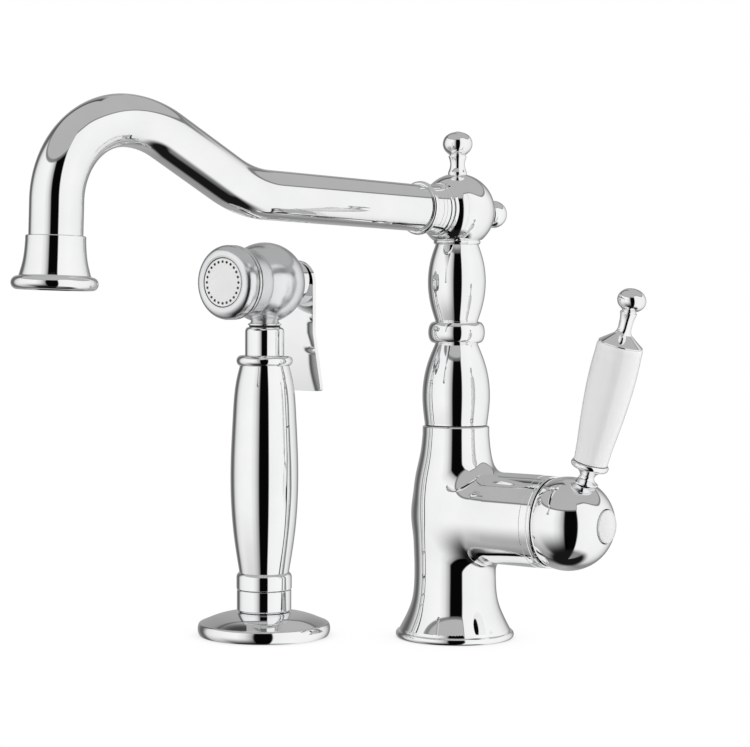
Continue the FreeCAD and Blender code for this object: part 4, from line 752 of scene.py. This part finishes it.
dome = turned("lever_dome", DOME_AXIS,
              (17.43, -8.956), (19.436, -8.956), arc((21.4, 0), (0, 21.4)), (0, 19.6),
              arc((19.6, 0), (17.43, -8.956)))
recess = turned("index_recess", BRANCH_AXIS, (0, 80.0), (8.0, 80.0), (8.0, 90), (0, 90), edge=0.05)
chromed(built_up(dome, (recess, "DIFFERENCE")), "handle_dome")

dressed(turned("index_button", BRANCH_AXIS,
               (0, 81.6), (7.55, 81.6), (7.55, 83.3), arc((3.9, 84.75), (0, 85.2)), edge=0.35),
        INDEX_WHITE, "index_satin", "index_cap")

chromed(turned("grip_collar", LEVER_AXIS,
               (2.55, 19.6), (5.9, 19.6), (5.7, 20.2),
               curve((4.1, 21.3), (3.35, 22.6), (3.9, 24.4), (6.7, 26.5)), arc((8.6, 27.9), (8.15, 29.45)),
               (7.75, 29.45), (7.75, 29), (2.55, 29), edge=0.15),
        "lever_collar")
dressed(turned("porcelain_handle", LEVER_AXIS,
               (2.8, 29.6), (7.7, 29.6),
               curve((8.3, 38), (9.15, 46), (10.05, 56), (10.65, 67), (10.7, 74), (10.45, 82)),
               curve((10.3, 84.2), (10.0, 85)), (2.8, 85), edge=0.3),
        PORCELAIN, "porcelain", "porcelain_grip")
chromed(turned("grip_cap", LEVER_AXIS,
               (0, 85.6), (9.2, 85.6), (9.2, 85.05), (10.05, 85.05), (10.05, 85.5), (4.0, 90.0),
               curve((3.2, 91.6), (3.05, 94.0), (3.3, 97.5), (3.8, 99.6)), (3.8, 100.0), (3.2, 100.3),
               (3.25, 100.9),
               curve((5.63, 102.93), (6.5, 105.6), (5.63, 108.28), (3.25, 110.23), (0, 110.95)), edge=0.12),
        "lever_cap")


# Column, hub and spout

chromed(turned("turned_column", MIXER_AXIS,
               (9.05, 101), (14.35, 101), (14.35, 100.35), (14.75, 100.35), (14.75, 101.1),
               curve((15.9, 113.5), (13.5, 129.5), (9.95, 138.6)),
               curve((11.9, 139.4), (13.0, 141.4), (13.3, 143.8), (13.0, 146.2), (11.9, 148.2), (9.95, 149)),
               curve((12, 155.5), (13.6, 167.1), (12.2, 178.5), (10.1, 185)), (8.05, 185), (8.05, 178),
               (6.5, 178), (6.5, 128.3), (9.05, 128.3)),
        "column")
ball = turned("hub_ball", MIXER_AXIS,
              (0, 178), (8, 178), (8, 185), (9.9, 185), arc((11.0, 186.0), (10.5, 187.1)), (11.6, 187.23),
              arc((17.7, 200.6), (0, 218.3)), edge=0.15)
socket = turned("hub_socket", SPOUT_AXIS,
                (0, 6), (15.6, 6), (15.6, 8.4), curve((13.4, 10.9), (12.3, 13.5)), (0, 13.5), edge=0.1)
chromed(built_up(ball, (socket, "UNION")), "hub")
chromed(turned("top_knob", MIXER_AXIS,
               (0, 217.7), (4.4, 217.7), (4.4, 218.8), curve((3.4, 222.6), (4.2, 226.0)), (4.2, 226.5),
               (3.5, 226.8), curve((6.05, 229.2), (6.95, 232.1), (5.6, 235.7), (0, 238)), edge=0.15),
        "top_finial")
chromed(turned("rear_knob", REAR_AXIS,
               (0, 17.1), (5, 17.1), (5, 18), (3.7, 20.0), arc((6.5, 25.3), (0, 31.8)), edge=0.4),
        "rear_finial")
chromed(turned("ferrule", SPOUT_AXIS,
               (10.8, 13.6), (11.25, 13.6), arc((12.0, 14.9), (11.25, 16.2)), (11.4, 16.3), (11.4, 18.4),
               (11.3, 18.5), (11.3, 20.6), (11.2, 20.7), (11.2, 24.3), (11.5, 24.4),
               arc((12.4, 25.8), (11.5, 27.2)), (10.8, 27.2), edge=0.1),
        "spout_ferrule")
chromed(swept("curved_spout", SPOUT_SPOTS, TUBE_R, CHROME), "spout_tube")
chromed(turned("outlet_bell_turned", OUTLET_AXIS,
               (10.8, 21.4), (11.6, 21.4), (11.9, 21.1), (11.9, 19.4),
               curve((12.15, 15.5), (12.8, 10.8), (14.2, 5.5)), (14.9, 5.3), arc((17.2, 2.65), (15.2, 0)),
               (14.4, 0), (11.5, 2.4), (11.5, 13.2), (9.55, 13.2), (9.55, 15.5), (10.8, 15.5)),
        "outlet_bell")


# Return springs of the diverter and the spray's valve

DIVERTER_SPRING_LOW = 77.5
DIVERTER_SPRING_HIGH = 86.0
VALVE_SPRING_LOW = -4.0
VALVE_SPRING_HIGH = 5.5

spring = coil("diverter_coil", MIXER_AXIS, 5.25, 0.44, DIVERTER_SPRING_LOW, DIVERTER_SPRING_HIGH, 5)
dressed(spring, STEEL, "steel", "diverter_spring")
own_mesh(spring)
spring = coil("valve_coil", HEAD_AXIS, 4.75, 0.44, VALVE_SPRING_LOW, VALVE_SPRING_HIGH, 6)
dressed(spring, STEEL, "steel", "plunger_spring")
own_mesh(spring)


# Hand spray

chromed(turned("deck_flange", SPRAY_AXIS,
               (12.1, 0.6), (16, 0.6), (16, 6.1), (22.1, 6.6), (27, 3.8), (27, 0), (30.5, 0),
               arc((31.4, 2.6), (31.0, 5.2)), arc((30.6, 5.75), (29.9, 6.05)),
               curve((22.5, 9.0), (12.5, 10.95)), (12.2, 10.85), (10.92, 9.3), (11.85, 9.3), (11.85, 5.2),
               (12.1, 5.2), edge=0.15),
        "spray_flange")
chromed(turned("spigot_nut", SPRAY_AXIS,
               (6, 6.2), (8, 6.2), (12.9, 12.2), (12.9, 21.3), (12.6, 21.6), (8, 21.6), (8, 37), (4, 37),
               (4, 17.2), (6, 17.2), edge=0.2),
        "hose_nut")
chromed(turned("spray_grip", SPRAY_AXIS,
               (8.05, 21.9), (12.8, 21.9), (13.1, 22.2), (13.1, 27.6), arc((12.83, 28.68), (11.75, 29.8)),
               curve((14.4, 47.1), (16, 79), (14.95, 104.3), (13.2, 121.4), (11.7, 127.5)),
               arc((13.3, 129.95), (11.7, 132.4)), (9.0, 132.4), (9.0, 104), (8.05, 104)),
        "spray_handle")
chromed(turned("grip_neck", SPRAY_AXIS,
               (4.5, 104), (8.95, 104), (8.95, 132.4), (9.25, 132.4), (9.25, 143.8),
               arc((8.61, 145.36), (7.05, 146)), (5.5, 146), (5.5, 146.7), (4.5, 146.7), edge=0.15),
        "spray_neck")

ball = turned("spray_ball", HEAD_AXIS,
              (4, 5.5), (9.05, 5.5), (9.05, -14.5), (12.28, -14.5), arc((19, 0), (15.2, 11.4)), (16.8, 21),
              (10, 21), (10, 8), (4, 8), edge=0.5)
foot = turned("spray_ball_foot", SPRAY_AXIS,
              (4.5, 146.7), (7.9, 146.7), (7.9, 147.4), (7.1, 147.7), curve((6.0, 149.4), (5.5, 152)),
              (4.5, 152), edge=0.1)
dressed(built_up(ball, (foot, "UNION")), SATIN_CHROME, "chrome", "spray_head")

dressed(turned("bead", HEAD_AXIS,
               (10, 21), (16.4, 21), (16.4, 21.9), (16.9, 21.9), arc((17.3, 22.7), (16.9, 23.5)),
               (10, 23.5), edge=0.12),
        SATIN_CHROME, "chrome", "bead_ring")
dressed(turned("face_bezel", HEAD_AXIS,
               (10, 23.5), (16.4, 23.5), (16.4, 24.4), (17.3, 24.4), (17.3, 26.6),
               arc((15.75, 29.5), (12.4, 30.6)), (11.55, 30.3), (11.55, 27.2), (10, 27.2), edge=0.15),
        SATIN_CHROME, "chrome", "bezel")
dressed(turned("spray_face", HEAD_AXIS, (0, 27.2), (11.15, 27.2), (11.15, 30.2), (0, 30.2), edge=0.2),
        PLATE_WHITE, "white_plastic", "spray_plate")
# The two bead rings are black rings laid in the grooves either side of the bead ring: painted shade that
# stands for the darkness of those grooves.
for name, place, inner, outer, low, high in (("face_seal", HEAD_AXIS, 11.15, 11.55, 27.3, 30.0),
                                             ("bead_painted_shade_rear", HEAD_AXIS, 16.4, 16.75, 21.1, 21.85),
                                             ("bead_painted_shade_front", HEAD_AXIS, 16.4, 16.75, 23.6, 24.35),
                                             ("neck_seal", SPRAY_AXIS, 5.55, 7.3, 146.02, 146.68)):
    seal_and_shade_ring = turned(name, place, (inner, low), (outer, low), (outer, high), (inner, high), edge=0.05)
    seal_and_shade_ring.data.materials.append(RUBBER)
    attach(seal_and_shade_ring, "handset")
chromed(edged_copy("trigger_boss", "rear_boss", 0.3), "rear_boss")
chromed(edged_copy("trigger_blade", "trigger_paddle", 0.35), "trigger_paddle")


NOZZLES = 24
NOZZLE_RING_R = 9.6
NOZZLE_R = 0.68
NOZZLE_TAPER = 0.9
NOZZLE_LENGTH = 0.4
NOZZLE_AROUND = 20
NOZZLE_SEAT = 29.9


def nozzle_tips():
    """A ring of black nozzle tips in the spray's face, repeated with geometry nodes."""
    tree, sizes, names = shape_tree("nozzle_ring", {
        "Count": "NodeSocketInt", "Ring radius": "NodeSocketFloat", "Tip radius": "NodeSocketFloat",
        "Tip length": "NodeSocketFloat"})
    circle = add_node(tree, "GeometryNodeMeshCircle",
                      {"Vertices": sizes["Count"], "Radius": sizes["Ring radius"]})
    narrow = add_node(tree, "ShaderNodeMath", {0: sizes["Tip radius"], 1: NOZZLE_TAPER},
                      operation="MULTIPLY")
    tip = add_node(tree, "GeometryNodeMeshCone",
                   {"Vertices": NOZZLE_AROUND, "Side Segments": 2, "Radius Bottom": sizes["Tip radius"],
                    "Radius Top": narrow.outputs[0], "Depth": sizes["Tip length"]})
    scatter = add_node(tree, "GeometryNodeInstanceOnPoints",
                       {"Points": circle.outputs["Mesh"], "Instance": tip.outputs["Mesh"]})
    end_tree(tree, scatter.outputs["Instances"], RUBBER)
    piece = bpy.data.objects.new("nozzle_tips", bpy.data.meshes.new("nozzle_tips"))
    bpy.context.scene.collection.objects.link(piece)
    ring = piece.modifiers.new("ring", "NODES")
    ring.node_group = tree
    ring[names["Count"]] = NOZZLES
    ring[names["Ring radius"]] = NOZZLE_RING_R * MM
    ring[names["Tip radius"]] = NOZZLE_R * MM
    ring[names["Tip length"]] = NOZZLE_LENGTH * MM
    made_plain(piece)
    piece.data.transform(HEAD_AXIS @ Matrix.Translation((0, 0, NOZZLE_SEAT * MM)))
    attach(piece, "handset")


nozzle_tips()


# Finishes of the solids that stay as they are

for part in frame["record"]["subparts"]:
    node = frame["nodes"][part["node"]]
    for place in node.material_slots:
        place.material = FINISH[part["material_slot"]]


# Camera

CAMERA_AT = Vector((575.82, -826.19, 163.86)) * MM
CAMERA_TURN = 0.646684
CAMERA_DIP = 0.039355
CAMERA_ROLL = -0.004394
FOCAL_PIXELS = 2138.7
PICTURE_WIDTH = 750
SENSOR_WIDTH = 36.0
CLIP_START = 0.01

# Level directions: from the part toward the camera, and to the camera's right
toward = Vector((math.sin(CAMERA_TURN), -math.cos(CAMERA_TURN), 0))
across = Vector((math.cos(CAMERA_TURN), math.sin(CAMERA_TURN), 0))
ahead = -toward * math.cos(CAMERA_DIP) - UP * math.sin(CAMERA_DIP)
above = across.cross(ahead)
right = across * math.cos(CAMERA_ROLL) - above * math.sin(CAMERA_ROLL)
top = across * math.sin(CAMERA_ROLL) + above * math.cos(CAMERA_ROLL)
lens = bpy.data.cameras.new("camera")
lens.sensor_width = SENSOR_WIDTH
lens.lens = FOCAL_PIXELS / PICTURE_WIDTH * SENSOR_WIDTH
lens.clip_start = CLIP_START
camera = bpy.data.objects.new("camera", lens)
bpy.context.scene.collection.objects.link(camera)
camera.matrix_world = Matrix.Translation(CAMERA_AT) @ Matrix((right, top, -ahead)).transposed().to_4x4()
bpy.context.scene.camera = camera
bpy.context.scene.view_settings.view_transform = "Standard"


# Studio: a pale deck that ends in front of the part, and a room of soft boxes around it. Levels are shares
# of white. Places are in degrees: the turn from the camera, right positive, and the rise above level.
# A pair is where a soft edge begins and ends.

WALLS = [(-180, 0.68), (-154, 0.58), (-143, 0.43), (-134, 0.36), (-127, 0.46), (-121, 0.68), (-115, 0.86),
         (-108, 0.91), (-95, 0.96), (-70, 0.98), (-45, 0.99), (-30, 0.90), (-18, 0.66), (-14.5, 0.12),
         (-12, 0.06), (14.5, 0.06), (17.5, 0.15), (19, 0.97), (60, 0.99), (105, 0.97), (116, 0.955),
         (128, 0.91), (136, 0.87), (145, 0.77), (154, 0.58), (163, 0.52), (180, 0.68)]
BOX_TOP = 37.0                      # upper edge of the walls' soft boxes
BOX_CLIMB = (17.0, 26.0)            # turns between which that edge climbs
BOX_CLIMB_BY = 15.0
BOX_DROP = (45.0, 100.0)            # turns between which it drops
BOX_DROP_BY = 21.0
CEILING = 0.71
CEILING_EDGE = (-1.5, 2.0)          # rises over the boxes
SEAM = 0.40                         # dark line between the boxes and the ceiling
SEAM_SHARE = 0.8
SEAM_BELOW, SEAM_ABOVE = (-2.0, -0.5), (1.0, 3.0)
REAR_EDGE = 0.28                    # dark edge of the ceiling, behind on the left
REAR_SLOPE, REAR_OFFSET = -0.8, -76.0
REAR_LEFT, REAR_RIGHT = (-179.0, -172.0), (-146.0, -136.0)
REAR_BELOW, REAR_ABOVE = (-22.0, -3.0), (-2.0, 3.0)
LOW_LEFT, LOW_RIGHT = (-130.0, -110.0), (-14.0, 0.0)    # the left wall's dark foot
LOW_TOP = (-62.0, -6.0)
LOW_DEEPER = (-94.0, -72.0)
LOW_SHARE, LOW_MORE = 0.62, 0.34
PIT = 0.12                          # straight below
PIT_RIGHT = 0.55
PIT_EDGE = (-68.0, -54.0)
PIT_RIGHT_IN, PIT_RIGHT_OUT = (10.0, 30.0), (60.0, 85.0)
MATT_LIFT = 0.65                    # more of the same light on matt surfaces
WHITE = (1, 1, 1, 1)
DISPLAY_GAMMA = 2.2


def level(shown):
    """Light level that shows as this share of white."""
    return shown ** DISPLAY_GAMMA


def room_light():
    """Light of the room by its direction, white where the camera looks into it."""
    world = bpy.data.worlds.new("room")
    world.use_nodes = True
    bpy.context.scene.world = world
    tree = world.node_tree
    tree.nodes.clear()

    def calc(operation, *values):
        return add_node(tree, "ShaderNodeMath", dict(enumerate(values)), operation=operation).outputs[0]

    def step(value, edge):
        """0 up to the soft edge, 1 past it."""
        rising = add_node(tree, "ShaderNodeMapRange",
                          {"Value": value, "From Min": edge[0], "From Max": edge[1]},
                          interpolation_type="SMOOTHSTEP")
        return rising.outputs["Result"]

    def fall(value, edge):
        """1 up to the soft edge, 0 past it."""
        return calc("SUBTRACT", 1.0, step(value, edge))

    def within(value, start, end):
        """1 between two soft edges."""
        return calc("MULTIPLY", step(value, start), fall(value, end))

    def mixed(share, first, second):
        """first where share is 0, second where it is 1."""
        kept = calc("MULTIPLY", first, calc("SUBTRACT", 1.0, share))
        return calc("ADD", kept, calc("MULTIPLY", second, share))

    where = add_node(tree, "ShaderNodeTexCoord").outputs["Generated"]

    def along(way):
        share = add_node(tree, "ShaderNodeVectorMath", {0: where, 1: way}, operation="DOT_PRODUCT")
        return share.outputs["Value"]

    turn = calc("MULTIPLY", calc("ARCTAN2", along(across), along(toward)), math.degrees(1))
    rise = calc("MULTIPLY", calc("ARCSINE", along(UP)), math.degrees(1))

    walls = add_node(tree, "ShaderNodeValToRGB", {"Fac": calc("DIVIDE", calc("ADD", turn, 180.0), 360.0)})
    marks = walls.color_ramp.elements
    marks.remove(marks[0])
    marks[0].position = 0
    for index, (angle, shown) in enumerate(WALLS):
        mark = marks.new((angle + 180) / 360) if index else marks[0]
        mark.color = (level(shown),) * 3 + (1,)
    wall = calc("ADD", walls.outputs["Color"], 0.0)

    box_top = calc("ADD", BOX_TOP, calc("MULTIPLY", step(turn, BOX_CLIMB), BOX_CLIMB_BY))
    box_top = calc("SUBTRACT", box_top, calc("MULTIPLY", step(turn, BOX_DROP), BOX_DROP_BY))
    over_box = calc("SUBTRACT", rise, box_top)
    seam = within(over_box, SEAM_BELOW, SEAM_ABOVE)
    over_rear = calc("SUBTRACT", rise, calc("MULTIPLY_ADD", turn, REAR_SLOPE, REAR_OFFSET))
    rear = calc("MULTIPLY", within(turn, REAR_LEFT, REAR_RIGHT), within(over_rear, REAR_BELOW, REAR_ABOVE))
    low = calc("MULTIPLY", within(turn, LOW_LEFT, LOW_RIGHT), fall(rise, LOW_TOP))
    low = calc("MULTIPLY", low, calc("MULTIPLY_ADD", step(turn, LOW_DEEPER), LOW_MORE, LOW_SHARE))
    pit = mixed(within(turn, PIT_RIGHT_IN, PIT_RIGHT_OUT), level(PIT), level(PIT_RIGHT))
    light = mixed(low, wall, 0.0)
    light = mixed(step(over_box, CEILING_EDGE), light, level(CEILING))
    light = mixed(calc("MULTIPLY", seam, SEAM_SHARE), light, level(SEAM))
    light = mixed(rear, light, level(REAR_EDGE))
    light = mixed(fall(rise, PIT_EDGE), light, pit)

    path = add_node(tree, "ShaderNodeLightPath").outputs
    strength = calc("ADD", 1.0, calc("MULTIPLY", path["Is Diffuse Ray"], MATT_LIFT))
    lit = add_node(tree, "ShaderNodeBackground", {"Color": light, "Strength": strength})
    seen = add_node(tree, "ShaderNodeBackground", {"Color": WHITE})
    both = add_node(tree, "ShaderNodeMixShader",
                    {"Fac": path["Is Camera Ray"], 1: lit.outputs["Background"],
                     2: seen.outputs["Background"]})
    add_node(tree, "ShaderNodeOutputWorld", {"Surface": both.outputs["Shader"]})


room_light()

DECK_FRONT = 0.045                  # metres from the part's axis to the deck's front edge
DECK_BACK = 1.2
DECK_DROP = 0.0002
DECK_DARK, DECK_LIGHT = (0.86, 0.86, 0.86), (0.90, 0.90, 0.90)
DECK_GRAIN = 4
DECK_ROUGHNESS = 0.7
SHADOW_REACH = 0.03
SHADOW_SAMPLES = 8
SHADOW_LEVEL = (0.72, 0.72, 0.72, 1)
SHADOW_END = 0.9


def deck():
    """Pale deck: white to the camera, with a soft shadow close under the part.

    Polished pieces and a view from below see through it.
    """
    corners = [across * -DECK_BACK + toward * DECK_FRONT, across * DECK_BACK + toward * DECK_FRONT,
               across * DECK_BACK - toward * DECK_BACK, across * -DECK_BACK - toward * DECK_BACK]
    mesh = bpy.data.meshes.new("deck")
    mesh.from_pydata([corner - UP * DECK_DROP for corner in corners], [], [(0, 1, 2, 3)])
    floor = bpy.data.objects.new("deck", mesh)
    bpy.context.scene.collection.objects.link(floor)
    made, tree, shader = material("pale_deck")
    shader.inputs["Roughness"].default_value = DECK_ROUGHNESS
    toned(tree, shader, DECK_GRAIN, DECK_DARK, DECK_LIGHT)
    shade = add_node(tree, "ShaderNodeAmbientOcclusion", {"Distance": SHADOW_REACH}, samples=SHADOW_SAMPLES)
    soft = add_node(tree, "ShaderNodeValToRGB", {"Fac": shade.outputs["AO"]})
    soft.color_ramp.elements[0].color = SHADOW_LEVEL
    soft.color_ramp.elements[1].color = WHITE
    soft.color_ramp.elements[1].position = SHADOW_END
    seen = add_node(tree, "ShaderNodeEmission", {"Color": soft.outputs["Color"]})
    path = add_node(tree, "ShaderNodeLightPath").outputs
    both = add_node(tree, "ShaderNodeMixShader",
                    {"Fac": path["Is Camera Ray"], 1: shader.outputs["BSDF"], 2: seen.outputs["Emission"]})
    below = add_node(tree, "ShaderNodeNewGeometry").outputs["Backfacing"]
    hidden = add_node(tree, "ShaderNodeMath", {0: path["Is Glossy Ray"], 1: below}, operation="MAXIMUM")
    clear = add_node(tree, "ShaderNodeBsdfTransparent")
    result = add_node(tree, "ShaderNodeMixShader",
                      {"Fac": hidden.outputs["Value"], 1: both.outputs["Shader"], 2: clear.outputs["BSDF"]})
    tree.links.new(result.outputs["Shader"], tree.nodes["Material Output"].inputs["Surface"])
    floor.data.materials.append(made)


deck()
